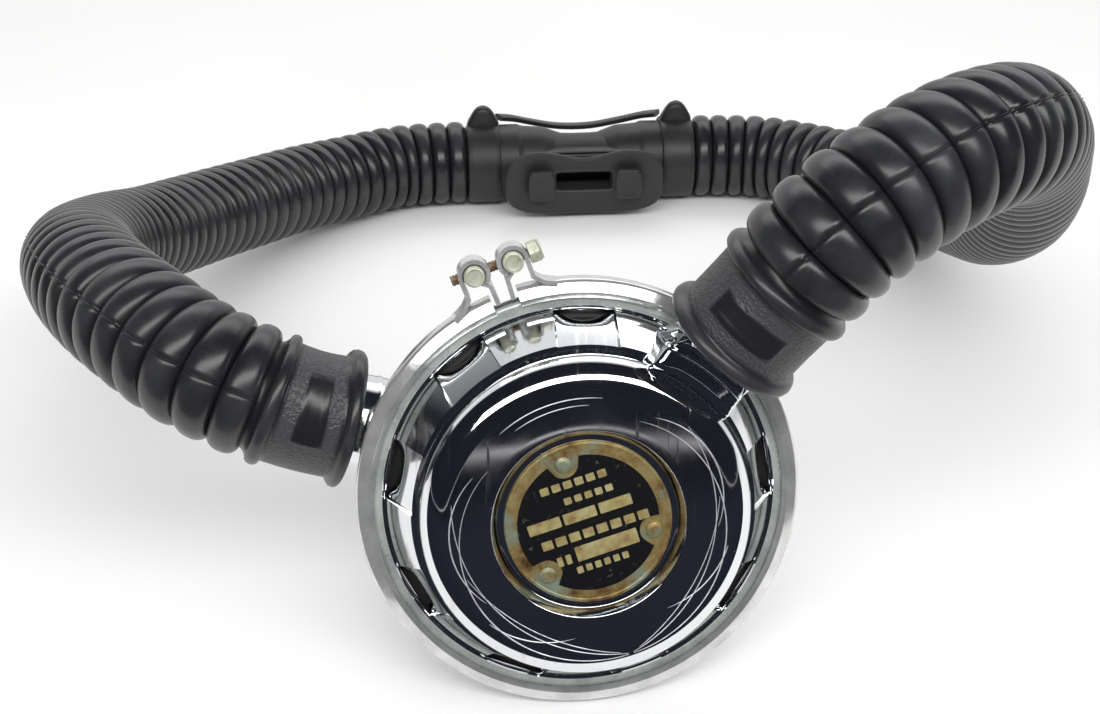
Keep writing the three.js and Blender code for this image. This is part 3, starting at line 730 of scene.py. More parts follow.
def cover_shell():
    """Flange, dish wall with its eight pressed water scoops, and the top under the cup"""
    plan = front_columns()
    columns = len(plan)
    flange = [(FLANGE_RADIUS, FLANGE_FRONT), (59, FLANGE_FRONT), (57.6, FLANGE_FRONT),
              (57.35, FLANGE_FRONT + 0.3), (56.9, FLANGE_FRONT + 0.35),
              (56.65, FLANGE_FRONT + 0.05)]
    top = [(48.6, DISH_TOP + 0.05), (47.6, DISH_TOP + 0.1), (40, DISH_TOP + 0.1)]
    wall_rows = 22
    points = []
    for r, z in flange:
        points += level_ring(plan, r, z, DISH_RADIUS)
    chord = sqrt(DISH_RADIUS ** 2 - SLOT_HALF_WIDTH ** 2)
    for column, point in zip(plan, level_ring(plan, DISH_RADIUS, FLANGE_FRONT, DISH_RADIUS)):
        kind, i, value = column
        if kind == "scoop":
            point = (*scoop_place(i, value, chord), FLANGE_FRONT)
        points.append(point)
    edge_row = len(flange)
    for row in range(wall_rows):
        v = row / (wall_rows - 1)
        for kind, i, value in plan:
            points.append(dish_point(kind, i, value, v))
    for r, z in top:
        points += level_ring(plan, r, z, DISH_TOP_RADIUS)
    # the scoops stay open between the flange's edge and the first row of the wall
    faces = [face for face in grid_faces(len(points) // columns, columns, wrap_columns=True)
             if face[0] // columns != edge_row]
    return np.array(points), faces


def make_front_cover():
    shape = cover_shell()
    obj = piece("front_cover_shell", shape, CASE, CHROME_WALL, "chrome",
                ["front_cover"], sharp=radians(40), weighted=False)
    obj.data.materials.append(SATIN)
    to_case = CASE.inverted()
    for polygon in obj.data.polygons:
        centre = to_case @ polygon.center
        if hypot(centre.x, centre.y) > SATIN_INNER * MM:
            polygon.material_index = 1
    solid = obj.modifiers.new("sheet", "SOLIDIFY")
    solid.thickness = SHEET * MM
    solid.offset = -1


def cup_profile():
    wall = SHEET
    outer = rounded([
        (CUP_RADIUS, CUP_BACK, 0), (CUP_RADIUS, CUP_FRONT, CUP_SHOULDER),
        (30, CUP_FRONT + 0.15, 0)], closed=False, steps=18)
    recess = rounded([
        (30, CUP_FRONT + 0.15, 0), (27.2, CUP_FRONT + 0.15, 0.6), (25.4, CUP_FRONT - 2.6, 0.5),
        (24.2, CUP_FRONT - 3, 0)], closed=False)
    inner = rounded([
        (0, CUP_FRONT - RECESS_DEPTH - wall, 0), (25.5, CUP_FRONT - RECESS_DEPTH - wall, 0.5),
        (28, CUP_FRONT - wall, 0.6),
        (CUP_RADIUS - wall, CUP_FRONT - wall, CUP_SHOULDER - wall),
        (CUP_RADIUS - wall, CUP_BACK, 0)], closed=False, steps=8)
    return inner + outer + recess[1:] + [(0, CUP_FRONT - RECESS_DEPTH)]


def make_exhaust_box():
    piece("exhaust_box_shell", turned(cup_profile(), 160), CASE, CHROME_CUP, "chrome",
          ["exhaust_box"], sharp=radians(60))


RIVET_CIRCLE = 18.6
RIVET_ANGLES = [radians(95 + 120 * i) for i in range(3)]
RIVET_LOBE = 4.1
ENAMEL_RADIUS = 19.8

# Plain gold dashes on the enamel: x and y of a row's middle, its length, height and dash count
PLATE_ROWS = [
    (-0.6, 12.6, 19, 2.2, 6), (2.4, 8.0, 14, 2.0, 5), (-1.6, 3.0, 30, 3.2, 3),
    (1.2, -2.6, 31, 2.6, 8), (3.0, -7.8, 18, 4.4, 1), (-9.6, -8.4, 4, 2.8, 2),
    (0.4, -12.4, 15, 2.0, 6),
]
DASH_GAP = 0.9


def enamel_outline():
    """A disc with a bay round each rivet"""
    points = []
    for k in range(240):
        angle = 2 * pi * k / 240
        radius = ENAMEL_RADIUS
        for rivet in RIVET_ANGLES:
            off = RIVET_CIRCLE * sin(angle - rivet)
            if abs(off) < RIVET_LOBE and cos(angle - rivet) > 0:
                reach = RIVET_CIRCLE * cos(angle - rivet) - sqrt(RIVET_LOBE ** 2 - off ** 2)
                radius = min(radius, reach)
        points.append((radius * cos(angle), radius * sin(angle)))
    return points


def plate_dashes(z):
    """Rows of plain dashes"""
    bars = []
    for x, y, length, height, count in PLATE_ROWS:
        width = (length - DASH_GAP * (count - 1)) / count
        for k in range(count):
            left = x - length / 2 + k * (width + DASH_GAP)
            corners = [(left, y - height / 2), (left + width, y - height / 2),
                       (left + width, y + height / 2), (left, y + height / 2)]
            bars.append(prism(rounded([(*c, 0.25) for c in corners], steps=2), z, z + 0.16))
    return joined(*bars)


def make_name_plate():
    z = PLATE_BACK
    plate = rounded([(0, z, 0), (PLATE_RADIUS, z, 0.2), (PLATE_RADIUS, z + 0.9, 0.35),
                     (22.6, z + 0.9, 0.1), (22.3, z + 0.7, 0.1), (0, z + 0.7, 0)], closed=False)
    piece("name_plate_brass", turned(plate, 128), CASE, BRASS_AGED, "brass", ["name_plate"],
          sharp=radians(50))
    piece("name_plate_enamel", prism(enamel_outline(), z + 0.6, z + 0.76), CASE, ENAMEL, "enamel")
    piece("plate_panels", plate_dashes(z + 0.7), CASE, GILT, "brass")


def make_rivets():
    for i, a in enumerate(RIVET_ANGLES):
        z = PLATE_BACK + 0.68
        head = rounded([(0, z, 0), (2.5, z, 0.1), (2.3, z + 0.7, 0.5), (1.2, z + 1.15, 0.4),
                        (0, z + 1.2, 0)], closed=False)
        shape = moved(turned(head, 28), placed(RIVET_CIRCLE * cos(a), RIVET_CIRCLE * sin(a)))
        piece(f"plate_rivet_head_{i + 1}", shape, CASE, BRASS_AGED, "brass",
              [f"plate_rivet_{i + 1}"])


# ---------- clamp ----------

CLAMP_TURN = radians(2.3)
NUT_RADIUS = 3.0
NUT_SPREAD = 5.75
NUT_HEIGHT = BAND_RADIUS + 7.6
BAND_SHEET = 1.3


def band_section():
    """Channel that hooks over both flanges: a flat tread with sloping shoulders"""
    outer = rounded([(60.1, -4.5, 0), (60.8, -BAND_HALF_WIDTH, 0.3), (BAND_RADIUS, -3.1, 1.7),
                     (BAND_RADIUS, 3.1, 1.7), (60.8, BAND_HALF_WIDTH, 0.3), (60.1, 4.5, 0)],
                    closed=False, steps=6)
    return outer + [(59.3, 4.3), (59.4, 3.6), (61.1, 3.5), (61.1, -3.5), (59.4, -3.6),
                    (59.3, -4.3)]


def loop_strip(side):
    """The band's end: it leaves the rim, wraps its nut and comes back, as a bent strip"""
    eye = NUT_RADIUS + 0.35
    path = [(side * 15, BAND_RADIUS - 3.3), (side * 11.5, BAND_RADIUS - 1.5),
            (side * (NUT_SPREAD + 3.2), BAND_RADIUS + 1.4)]
    for k in range(15):
        a = radians(-10 + 265 * k / 14)
        path.append((side * (NUT_SPREAD + eye * cos(a)), NUT_HEIGHT + eye * sin(a)))
    path += [(side * (NUT_SPREAD - 2.6), NUT_HEIGHT - 4.6),
             (side * (NUT_SPREAD - 2.9), BAND_RADIUS - 2.6)]
    line = np.array(path)
    direction = np.gradient(line, axis=0)
    direction /= np.linalg.norm(direction, axis=1)[:, None]
    normal = np.stack([direction[:, 1], -direction[:, 0]], axis=1) * side
    outer = line + normal * BAND_SHEET
    w = BAND_HALF_WIDTH - 0.5
    rows = [[(*i, -w), (*o, -w), (*o, w), (*i, w)] for i, o in zip(line, outer)]
    return grid(np.array(rows), wrap_columns=True, caps=True)


def make_clamp_band():
    half = asin(BAND_GAP / 2 / BAND_RADIUS)
    rim = turned_arc(band_section(), pi / 2 + half, pi / 2 + 2 * pi - half, 190)
    turn = placed(turn=CLAMP_TURN)
    piece("clamp_band_rim", moved(rim, turn), CASE, CHROME_BAND, "chrome", ["clamp_band"],
          sharp=radians(50))
    piece("clamp_band_loops", moved(joined(loop_strip(-1), loop_strip(1)), turn), CASE,
          WORN_LOOPS, "chrome", bevel=0.2)


def make_clamp_nuts():
    for side, label in ((-1, "left"), (1, "right")):
        w = BAND_HALF_WIDTH + 1.3
        profile = rounded([(0, -w, 0), (NUT_RADIUS, -w, 0.5), (NUT_RADIUS, w, 0.7), (2.2, w, 0.2),
                           (1.9, w - 0.5, 0.2), (0, w - 0.5, 0)], closed=False)
        shape = moved(turned(profile, 40),
                      placed(turn=CLAMP_TURN) @ placed(side * NUT_SPREAD, NUT_HEIGHT))
        piece(f"clamp_nut_{label}_barrel", shape, CASE, ZINC, "zinc", [f"clamp_nut_{label}"])


def thread(radius, pitch, length, depth=0.32, fine=6, sides=20):
    """A rod along +z from 0 whose surface is one helical ridge"""
    rows = []
    for k in range(int(length / pitch * fine) + 1):
        row = []
        for j in range(sides):
            a = 2 * pi * j / sides
            phase = (k / fine - j / sides) % 1
            r = radius - depth * (1 - abs(2 * phase - 1))
            row.append((r * cos(a), r * sin(a), k * pitch / fine))
        rows.append(row)
    return grid(np.array(rows), wrap_columns=True, caps=True)


def make_clamp_bolt():
    rod = moved(thread(1.6, 0.9, 23), placed(z=-12.4))
    hexagon = prism(rounded([(3.4 * cos(radians(60 * k)), 3.4 * sin(radians(60 * k)), 0.4)
                             for k in range(6)], steps=2), 10.6, 13.8)
    by_slot = [prism([(a, -2.4), (b, -2.4), (b, 2.4), (a, 2.4)], 13.7, 14.4)
               for a, b in ((-2.8, -0.5), (0.5, 2.8))]
    lay = placed(turn=CLAMP_TURN) @ placed(0, NUT_HEIGHT) @ placed(turn=pi / 2, axis="Y")
    piece("clamp_bolt_thread", moved(rod, lay), CASE, RUST, "zinc", ["clamp_bolt"],
          sharp=radians(25))
    head = moved(joined(hexagon, *by_slot), lay)
    piece("clamp_bolt_head", head, CASE, ZINC, "zinc", bevel=0.25)


# ---------- engraving ----------

# Thin plain sweeps on the face of the cup: degrees from its lowest point, and the radius at
# the start, middle and end of each
SWEEPS = [
    (1, 138, (40.6, 38.4, 32.4)), (1, 118, (40.2, 35.4, 38.6)), (4, 84, (39.4, 34.4, 37.0)),
    (24, 62, (33.6, 37.4, 39.6)), (70, 132, (36.0, 38.8, 35.2)),
]
RULES = [(157, 205, 36.4), (163, 199, 34.4)]
STROKE_HALF = 0.2


def cup_height(radius):
    """Height of the cup's face and shoulder at a radius"""
    over = max(0, radius - (CUP_RADIUS - CUP_SHOULDER))
    return CUP_FRONT + 0.12 - CUP_SHOULDER + sqrt(CUP_SHOULDER ** 2 - over ** 2)


def stroke(angles, radii):
    """A fine ribbon on the cup's face that narrows to its ends"""
    rows = []
    count = len(angles)
    for k, (angle, radius) in enumerate(zip(angles, radii)):
        half = STROKE_HALF * (0.25 + 0.75 * sin(pi * k / (count - 1)) ** 0.5)
        z = cup_height(radius)
        rows.append([(r * cos(angle), r * sin(angle), z + lift)
                     for r, lift in ((radius - half, -0.05), (radius, -0.2),
                                     (radius + half, -0.05), (radius, 0.06))])
    return loft(rows)


def make_engraving():
    strokes = []
    for start, end, (first, middle, last) in SWEEPS:
        t = np.linspace(0, 1, 70)
        bend = 2 * middle - (first + last) / 2
        radii = first * (1 - t) ** 2 + 2 * bend * t * (1 - t) + last * t ** 2
        for side in (-1, 1):
            turns = side * np.radians(start + (end - start) * t) - pi / 2
            strokes.append(stroke(turns, radii))
    for start, end, radius in RULES:
        turns = np.radians(np.linspace(start, end, 40)) - pi / 2
        strokes.append(stroke(turns, np.full(40, radius)))
    piece("cup_engraving", joined(*strokes), CASE, BRIGHT_CUT, "chrome", weighted=False)


# ---------- horns ----------

def horn_matrix(horn):
    """The frame of a horn: its centre line along z, from its reference point"""
    angle, tilt = horn["angle"], horn["tilt"]
    direction = Vector((cos(angle) * cos(tilt), sin(angle) * cos(tilt), sin(tilt)))
    start = (horn["radius"] * cos(angle), horn["radius"] * sin(angle), horn["z"])
    return Matrix.Translation(start) @ direction.to_track_quat("Z", "Y").to_matrix().to_4x4()


SHOULDER_FRONT = 25
SHOULDER_EDGE = 54.6
SHOULDER_HALF = 13
PIPE_FULL = 59.5
HORN_RING = 192
HORN_BEAD_SETBACK = 0.8  # from the shoulder's edge
HORN_BEAD_HALF = 0.75
HORN_BEAD_HEIGHT = 0.44
HORN_START = [44, 46.2, 46.9, 47.4, 47.8, 48.2, 48.6, 49.1]  # it grows out of the side of the cup
HORN_START_TOPS = [19, 22.3, 23.5, 24.15, 24.5, 24.75, 24.92, SHOULDER_FRONT]


def dish_height(radius):
    share = (DISH_RADIUS - radius) / (DISH_RADIUS - DISH_TOP_RADIUS)
    return FLANGE_FRONT + (DISH_TOP - FLANGE_FRONT) * min(1, max(0, share))


def horn_section(x, radius=HORN_RADIUS):
    """Ring of points round the exhaust horn: a curved box by the cup, round further out"""
    tilt = EXHAUST_HORN["tilt"]
    ease = min(1, max(0, (x - SHOULDER_EDGE) / (PIPE_FULL - SHOULDER_EDGE)))
    ease = ease ** 1.4 * (3 - 2 * ease)
    across, up = soft_box(radius, radius / cos(tilt), 2, HORN_RING)
    middle = EXHAUST_HORN["z"] + (x - EXHAUST_HORN["radius"]) * tan(tilt)
    bottom = dish_height(x) - 0.9
    off_bead = min(1, abs(x - SHOULDER_EDGE + HORN_BEAD_SETBACK) / HORN_BEAD_HALF)
    bead = HORN_BEAD_HEIGHT / 2 * (1 + cos(pi * off_bead))
    top = float(np.interp(x, HORN_START, HORN_START_TOPS))
    half_height = (top + bead - bottom) / 2
    box_across, box_up = soft_box(SHOULDER_HALF, half_height, 8, HORN_RING)
    box_across = box_across * (1 + 0.05 * (1 - box_up / half_height))
    y = box_across * (1 - ease) + across * ease
    z = (box_up + bottom + half_height) * (1 - ease) + (up + middle) * ease
    bent = np.sqrt(x ** 2 - y ** 2) * (1 - ease) + x * ease
    return np.stack([bent, y, z], axis=1)


def make_exhaust_horn():
    end = EXHAUST_HORN["radius"] + HORN_SLEEVE * cos(EXHAUST_HORN["tilt"])
    near = np.concatenate([HORN_START, [50, 51.5], np.linspace(52.8, SHOULDER_EDGE, 13)[:-1],
                           np.linspace(SHOULDER_EDGE, PIPE_FULL, 22), np.linspace(62, end, 6)])
    outside = [horn_section(x) for x in near]
    bore = [horn_section(x, HORN_BORE) for x in (end, 72, 61)]
    piece("exhaust_horn_shell", moved(loft(outside + bore), placed(turn=EXHAUST_HORN["angle"])),
          CASE, CHROME_CUP, "chrome", ["exhaust_horn"], sharp=radians(50), weighted=False)


def make_intake_horn():
    outside = [(HORN_BORE, -25.5), (18.2, -25.5), (17.6, -23.6), (16.2, -22.4), (15.0, -21.2),
               (14.4, -19.6), (HORN_RADIUS, -18)]
    rim = rounded([(HORN_RADIUS, -17, 0), (HORN_RADIUS, HORN_SLEEVE, 0.6),
                   (HORN_BORE, HORN_SLEEVE, 0.6), (HORN_BORE, 20, 0)], closed=False)
    lip = [(HORN_RADIUS, -6), (14.5, -5.4), (14.5, -4.6), (HORN_RADIUS, -4)]
    shape = turned(outside + [rim[0]] + lip + rim[1:], 96)
    piece("intake_horn_shell", moved(shape, horn_matrix(INTAKE_HORN)), CASE, CHROME_REAR,
          "chrome", ["intake_horn"])


# ---------- case rear ----------

REAR_RADIUS = 46
REAR_BACK = -37.2


def make_rear_box():
    back = REAR_BACK
    outside = rounded([
        (12.4, back, 0), (23, back, 0.8), (24.2, back - 0.8, 0.6), (26.6, back - 0.8, 0.6),
        (27.8, back, 0.8), (REAR_RADIUS, back, 4.4), (REAR_RADIUS, -20.5, 0.5),
        (REAR_RADIUS + 0.7, -19.8, 0.4), (REAR_RADIUS + 0.7, -18.2, 0.4),
        (REAR_RADIUS, -17.5, 0.5), (REAR_RADIUS, -3.2, 1.6), (FLANGE_RADIUS, -3.2, 0)],
        closed=False, steps=6)
    inside = rounded([
        (FLANGE_RADIUS, -2, 0), (REAR_RADIUS - 1, -2, 1), (REAR_RADIUS - 1, back + 1, 3.4),
        (12.4, back + 1, 0)], closed=False, steps=6)
    piece("rear_box_shell", turned(outside + inside, 144), CASE, CHROME_REAR, "chrome",
          ["rear_box"], sharp=radians(55))


SKIRT_HALF = 0.55
SKIRT_INNER = 25.2
SKIRT_OUTER = 56.6
ROLL_MIDDLE = 39
ROLL_HALF_WIDTH = 9
ROLL_HEIGHT = 2.0
RIPPLE_START = 49


def make_diaphragm():
    """The rubber skirt behind the slits: a rolled convolution and a thick beaded rim"""
    radii = np.linspace(SKIRT_INNER, SKIRT_OUTER, 90)
    across = np.cos((radii - ROLL_MIDDLE) / ROLL_HALF_WIDTH * pi / 2)
    roll = ROLL_HEIGHT * np.clip(across, 0, 1) ** 1.3
    ripple = 0.12 * np.sin((radii - RIPPLE_START) * 2.1) * (radii > RIPPLE_START)
    front, back = ([(r, half + a + b) for r, a, b in zip(radii, roll, ripple)]
                   for half in (SKIRT_HALF, -SKIRT_HALF))
    rim = rounded([(57.2, 1.6, 0.4), (FLANGE_RADIUS, 1.6, 0.5), (FLANGE_RADIUS, -1.6, 0.5),
                   (57.2, -1.6, 0.4)], closed=False, steps=4)
    piece("diaphragm_skirt", turned(front + rim + back[::-1], 144), CASE, RUBBER_SOFT,
          "soft_rubber", ["diaphragm"], sharp=radians(60))


def make_first_stage():
    body = rounded([
        (9.3, -29, 0), (12, -29, 0.5), (12, -37.7, 0), (15, -37.8, 0.3), (16, -38.8, 0.4),
        (16, -42, 0.3), (15.2, -42.6, 0.2), (15.2, -43.8, 0.2), (16, -44.4, 0.3),
        (16, -57.6, 0.3), (15.2, -58.2, 0.2), (15.2, -59.4, 0.2), (16, -60, 0.3),
        (16, -62.4, 0.5), (14.2, -64, 0.5), (9.3, -64, 0)], closed=False, steps=3)
    piece("first_stage_housing", turned(body, 96), CASE, BRASS, "brass", ["first_stage_body"],
          sharp=radians(55))


def make_yoke_retainer():
    ring = rounded([
        (4.2, -66.2, 0), (9.1, -66.2, 0.3), (9.1, -72.3, 0), (13, -72.3, 0.3),
        (13.8, -73.1, 0.3), (13.8, -78.6, 0.3), (12.8, -79.9, 0.4), (9, -79.9, 0.2),
        (8.6, -78.3, 0.1), (6.1, -78.3, 0.1), (5.8, -79.9, 0.2), (4.2, -79.9, 0.2)],
        closed=False, steps=3)
    points, faces = turned(ring, 120)
    angle = np.arctan2(points[:, 1], points[:, 0])
    far = np.hypot(points[:, 0], points[:, 1])
    notch = np.where((far > 12.5) & (np.abs(np.sin(3 * angle)) < 0.28), 0.93, 1.0)
    points = points * np.stack([notch, notch, np.ones(len(notch))], axis=1)
    piece("yoke_retainer_ring", (points, faces), CASE, CHROME_REAR, "chrome",
          ["yoke_retainer"], sharp=radians(40), weighted=False)


YOKE_BACK = -136
YOKE_TOP = -64.4
YOKE_HALF_WIDTH = 27
YOKE_HALF_DEPTH = 10
YOKE_WINDOW_HALF = 18.5


def yoke_loop(half_width, z0, z1, corner):
    return rounded([(-half_width, z0, corner), (half_width, z0, corner),
                    (half_width, z1, corner), (-half_width, z1, corner)], steps=10)


def make_yoke():
    """A cast strap: flat sides, rolled edges, and a boss where the screw goes in"""
    outer = yoke_loop(YOKE_HALF_WIDTH, YOKE_BACK, YOKE_TOP, 10)
    inner = yoke_loop(YOKE_WINDOW_HALF, YOKE_BACK + 13, YOKE_TOP - 7.7, 5)
    y = YOKE_HALF_DEPTH
    rows = [[(x, depth, z) for x, z in loop]
            for loop, depth in ((outer, y), (outer, -y), (inner, -y), (inner, y))]
    frame_shape = grid(np.array(rows), wrap_rows=True, wrap_columns=True)
    piece("yoke_strap", frame_shape, CASE, CHROME_REAR, "chrome", ["yoke"], bevel=1.6)
    boss = rounded([(6.7, -136.4, 0.1), (9.5, -136.4, 0.3), (9.8, -135.5, 0.3), (9.8, -124, 0),
                    (6.7, -124, 0)], closed=False, steps=3)
    piece("yoke_boss", turned(boss, 64), CASE, CHROME_REAR, "chrome")


SCREW_PITCH = 1.75
KNOB_FRONT = -145.35
KNOB_BACK = -160


def make_yoke_screw():
    rod = moved(thread(6.5, SCREW_PITCH, 36, depth=0.7, fine=8, sides=40), placed(z=-157))
    neck = turned(rounded([(0, -121.4, 0), (3.6, -121.4, 0.2), (3, -118.7, 0.3), (0, -118.7, 0)],
                          closed=False, steps=3), 40)
    piece("yoke_screw_thread", joined(rod, neck), CASE, STEEL, "steel", ["yoke_screw"],
          body="yoke_screw", sharp=radians(25))


def make_screw_pad():
    pad = rounded([(0, -114.6, 0), (2.6, -114.6, 0.4), (5.6, -117.8, 0.5), (5.6, -120.6, 0.4),
                   (3.5, -120.6, 0.2), (3.5, -118.4, 0), (0, -118.4, 0)], closed=False, steps=4)
    piece("screw_pad_cone", turned(pad, 64), CASE, STEEL, "steel", ["screw_pad"],
          body="screw_pad")


KNOB_LOBES = 14


def make_knob():
    """A moulded hand knob with finger flutes and a metal hub"""
    profile = rounded([
        (7, KNOB_FRONT, 0), (17, KNOB_FRONT, 0.8), (18.2, KNOB_FRONT - 1.2, 0.6),
        (21.9, KNOB_FRONT - 2.6, 1.2), (21.9, KNOB_BACK + 2.4, 1.8), (19.4, KNOB_BACK, 1),
        (14, KNOB_BACK, 0.6), (13, KNOB_BACK + 1.1, 0.5), (7, KNOB_BACK + 1.1, 0)],
        closed=False, steps=5)
    points, faces = turned(profile, 12 * KNOB_LOBES)
    angle = np.arctan2(points[:, 1], points[:, 0])
    far = np.hypot(points[:, 0], points[:, 1])
    flute = np.abs(np.sin(angle * KNOB_LOBES / 2 + 0.2)) ** 0.7
    cut = np.clip((far - 18) / 3, 0, 1) * 2.2 * (1 - flute) / np.maximum(far, 1)
    points = points * np.stack([1 - cut, 1 - cut, np.ones(len(cut))], axis=1)
    piece("yoke_knob_grip", (points, faces), CASE, RUBBER_HARD, "soft_rubber", ["yoke_knob"],
          body="yoke_screw", sharp=radians(60))
    hub = rounded([(0, KNOB_BACK + 0.6, 0), (6.4, KNOB_BACK + 0.6, 0.5),
                   (6.9, KNOB_BACK + 1.4, 0.2), (6.9, KNOB_FRONT, 0), (0, KNOB_FRONT, 0)],
                  closed=False, steps=3)
    piece("yoke_knob_hub", turned(hub, 48), CASE, BRASS, "brass", body="yoke_screw")


# ---------- mouthpiece, its tube along x and the bite opening towards -y ----------

ALONG_X = Matrix.Rotation(pi / 2, 4, "Y")
BARREL_END = 61.9
SEAT = 41.6


def make_mouth_tube():
    """The waisted tube with its end flanges and barrels, and the neck for the bite piece"""
    half = rounded([
        (BARREL_END, HORN_BORE, 0.4), (BARREL_END, HORN_RADIUS, 0.6), (SEAT, HORN_RADIUS, 0.3),
        (SEAT, 18.1, 0.6), (30.8, 18.1, 0.8), (28.4, 17.2, 1.4), (18, 16.4, 5), (9, 13.2, 5)],
        closed=False, steps=4)
    outside = [(r, x) for x, r in half] + [(13.0, 4)]
    mirror = [(r, -x) for r, x in reversed(outside)]
    bore = [(HORN_BORE, -40), (11, -14), (11, 14), (HORN_BORE, 40)]
    tube = moved(turned(outside + mirror + bore, 96), ALONG_X)
    piece("mouth_tube_body", tube, MOUTH, RUBBER_HARD, "hard_rubber", ["mouthpiece_tube"],
          sharp=radians(50))
    rows = [oval(y, across, up, 5) for y, across, up in (
        (-3, 24, 13.6), (-7, 23.4, 12.8), (-10, 21.6, 10.9), (-12.5, 20.4, 9.9),
        (-16, 20.1, 9.6), (-25.2, 20, 9.5), (-25.2, 16, 5.5), (-3, 16, 5.5))]
    piece("mouth_tube_neck", grid(np.array(rows), wrap_rows=True, wrap_columns=True), MOUTH,
          RUBBER_HARD, "hard_rubber", sharp=radians(50))


def oval(y, across, up, power, centre=0.0):
    """Ring of points of a rounded rectangle that faces along y"""
    x, z = soft_box(across, up, power, 96)
    return np.stack([x + centre, np.full(96, y), z], axis=1)


SHIELD_DIP = 5.6
SHIELD_BEND = 3.0


def shield_row(y, across, up, power):
    """One ring of the lip shield: its top edge dips in the middle, its ends bend forward"""
    ring = oval(y, across, up, power)
    share = np.clip((np.abs(ring[:, 0]) / 38), 0, 1)
    grow = min(1, max(0, (across - 22) / 14))
    dip = SHIELD_DIP * grow * np.exp(-(ring[:, 0] / 17) ** 2)
    ring[:, 2] -= dip * (ring[:, 2] > 0)
    ring[:, 1] -= SHIELD_BEND * grow * share ** 2
    return ring


BITE_ROWS = [
    (-17.9, 21.2, 10.7, 5), (-17.8, 22.2, 11.8, 5), (-18.3, 22.9, 12.5, 5), (-19.1, 22.8, 12.4, 5),
    (-19.5, 21.8, 11.4, 5), (-22.6, 21.8, 11.4, 5), (-23.2, 22.6, 12.2, 5), (-24.4, 22.6, 12.2, 5),
    (-25.2, 24.4, 13.0, 4.4), (-25.4, 30.0, 14.8, 4), (-25.4, 36.0, 16.4, 3.6),
    (-25.7, 37.6, 16.9, 3.6), (-26.8, 38.2, 17.2, 3.6), (-27.9, 37.7, 16.9, 3.6),
    (-28.3, 36.4, 16.3, 3.6), (-28.3, 30.0, 13.4, 4), (-28.2, 20.0, 9.0, 5),
    (-28.9, 17.0, 7.0, 6), (-28.9, 15.0, 5.6, 8), (-28.2, 13.9, 4.6, 10), (-27, 13.5, 4.2, 12),
    (-17.9, 13.5, 4.2, 12),
]
TAB_ROWS = [
    (-27.4, 4.6, 5.2, 4), (-28.6, 3.0, 4.0, 4), (-31.0, 2.8, 3.8, 4), (-31.9, 5.4, 6.6, 5),
    (-32.4, 6.2, 7.4, 5), (-33.6, 6.4, 7.6, 5), (-34.5, 6.0, 7.2, 5), (-34.7, 5.2, 6.4, 5),
    (-34.3, 4.4, 5.6, 5), (-34.2, 2.0, 3.0, 5),
]


def make_bite_piece():
    body = grid(np.array([shield_row(*row) for row in BITE_ROWS]), wrap_rows=True,
                wrap_columns=True)
    tabs = [loft([oval(*row, centre=middle) for row in TAB_ROWS]) for middle in (-21, 21)]
    piece("bite_shield", joined(body, *tabs), MOUTH, RUBBER_SOFT, "soft_rubber", ["bite_piece"],
          sharp=radians(60))


def make_bite_band():
    rows = [oval(y, 22.4 + grow, 12.0 + grow, 5) for y, grow in (
        (-18.9, 0), (-18.7, 0.5), (-19.2, 1.1), (-20, 0.9), (-21.2, 0.9), (-22, 1.1),
        (-22.5, 0.5), (-22.3, 0))]
    piece("bite_band_loop", grid(np.array(rows), wrap_rows=True, wrap_columns=True), MOUTH,
          RUBBER_HARD, "hard_rubber", ["bite_band"])


RING_MIDDLE = 47.6
RING_HALF = 7.8
RING_BORE = 18.4
EAR_ROWS = [
    (18.6, 7.6, 3.4, 4), (20.4, 7.7, 3.5, 4), (21.8, 7.3, 3.6, 3.4), (23.6, 6.3, 3.6, 3),
    (25.4, 5.3, 3.5, 2.6), (27, 4.2, 3.2, 2.4), (28.2, 3.0, 2.5, 2.2), (29, 1.4, 1.3, 2),
]


def make_strap_rings():
    section = rounded([(RING_BORE, -RING_HALF, 0.4), (19.7, -RING_HALF, 0.7), (20.2, -5.6, 1),
                       (20.2, 5.6, 1), (19.7, RING_HALF, 0.7), (RING_BORE, RING_HALF, 0.4)],
                      steps=4)
    for side, label in ((-1, "left"), (1, "right")):
        collar = moved(turned(section, 96), placed(side * RING_MIDDLE) @ ALONG_X)
        rows = []
        for z, across, deep, power in EAR_ROWS:
            x, y = soft_box(across, deep, power, 64)
            rows.append(np.stack([x + side * RING_MIDDLE, y, np.full(64, z)], axis=1))
        piece(f"strap_ring_{label}_moulding", joined(collar, loft(rows)), MOUTH, RUBBER_HARD,
              "hard_rubber", [f"strap_ring_{label}"], sharp=radians(50))


STRAP_ROUTE = [
    (-39.6, 8.4, 19.9), (-32.6, 12.6, 17.6), (-24, 16.8, 14.1), (-10, 20, 10.2), (6, 20.5, 9.7),
    (22, 17.4, 13.5), (32.6, 12.6, 17.6), (39.6, 8.4, 19.9),
]


def make_neck_strap():
    path = catmull_points(STRAP_ROUTE, 8)
    reach = float(np.linalg.norm(np.diff(path, axis=0), axis=1).sum())
    centres, _, sides, ups = stations(path, np.linspace(0, reach, 60))
    across, up = soft_box(3.2, 1.35, 5, 24)
    points = (centres[:, None, :] + across[None, :, None] * sides[:, None, :]
              + up[None, :, None] * ups[:, None, :])
    piece("neck_strap_web", loft(points), MOUTH, RUBBER_HARD, "hard_rubber", ["neck_strap"],
          sharp=radians(50))


# ---------- floor ----------

DARK_FLOOR_HALF = 3
DARK_FLOOR_EDGE = -0.235
DARK_FLOOR_LIFT = 0.001


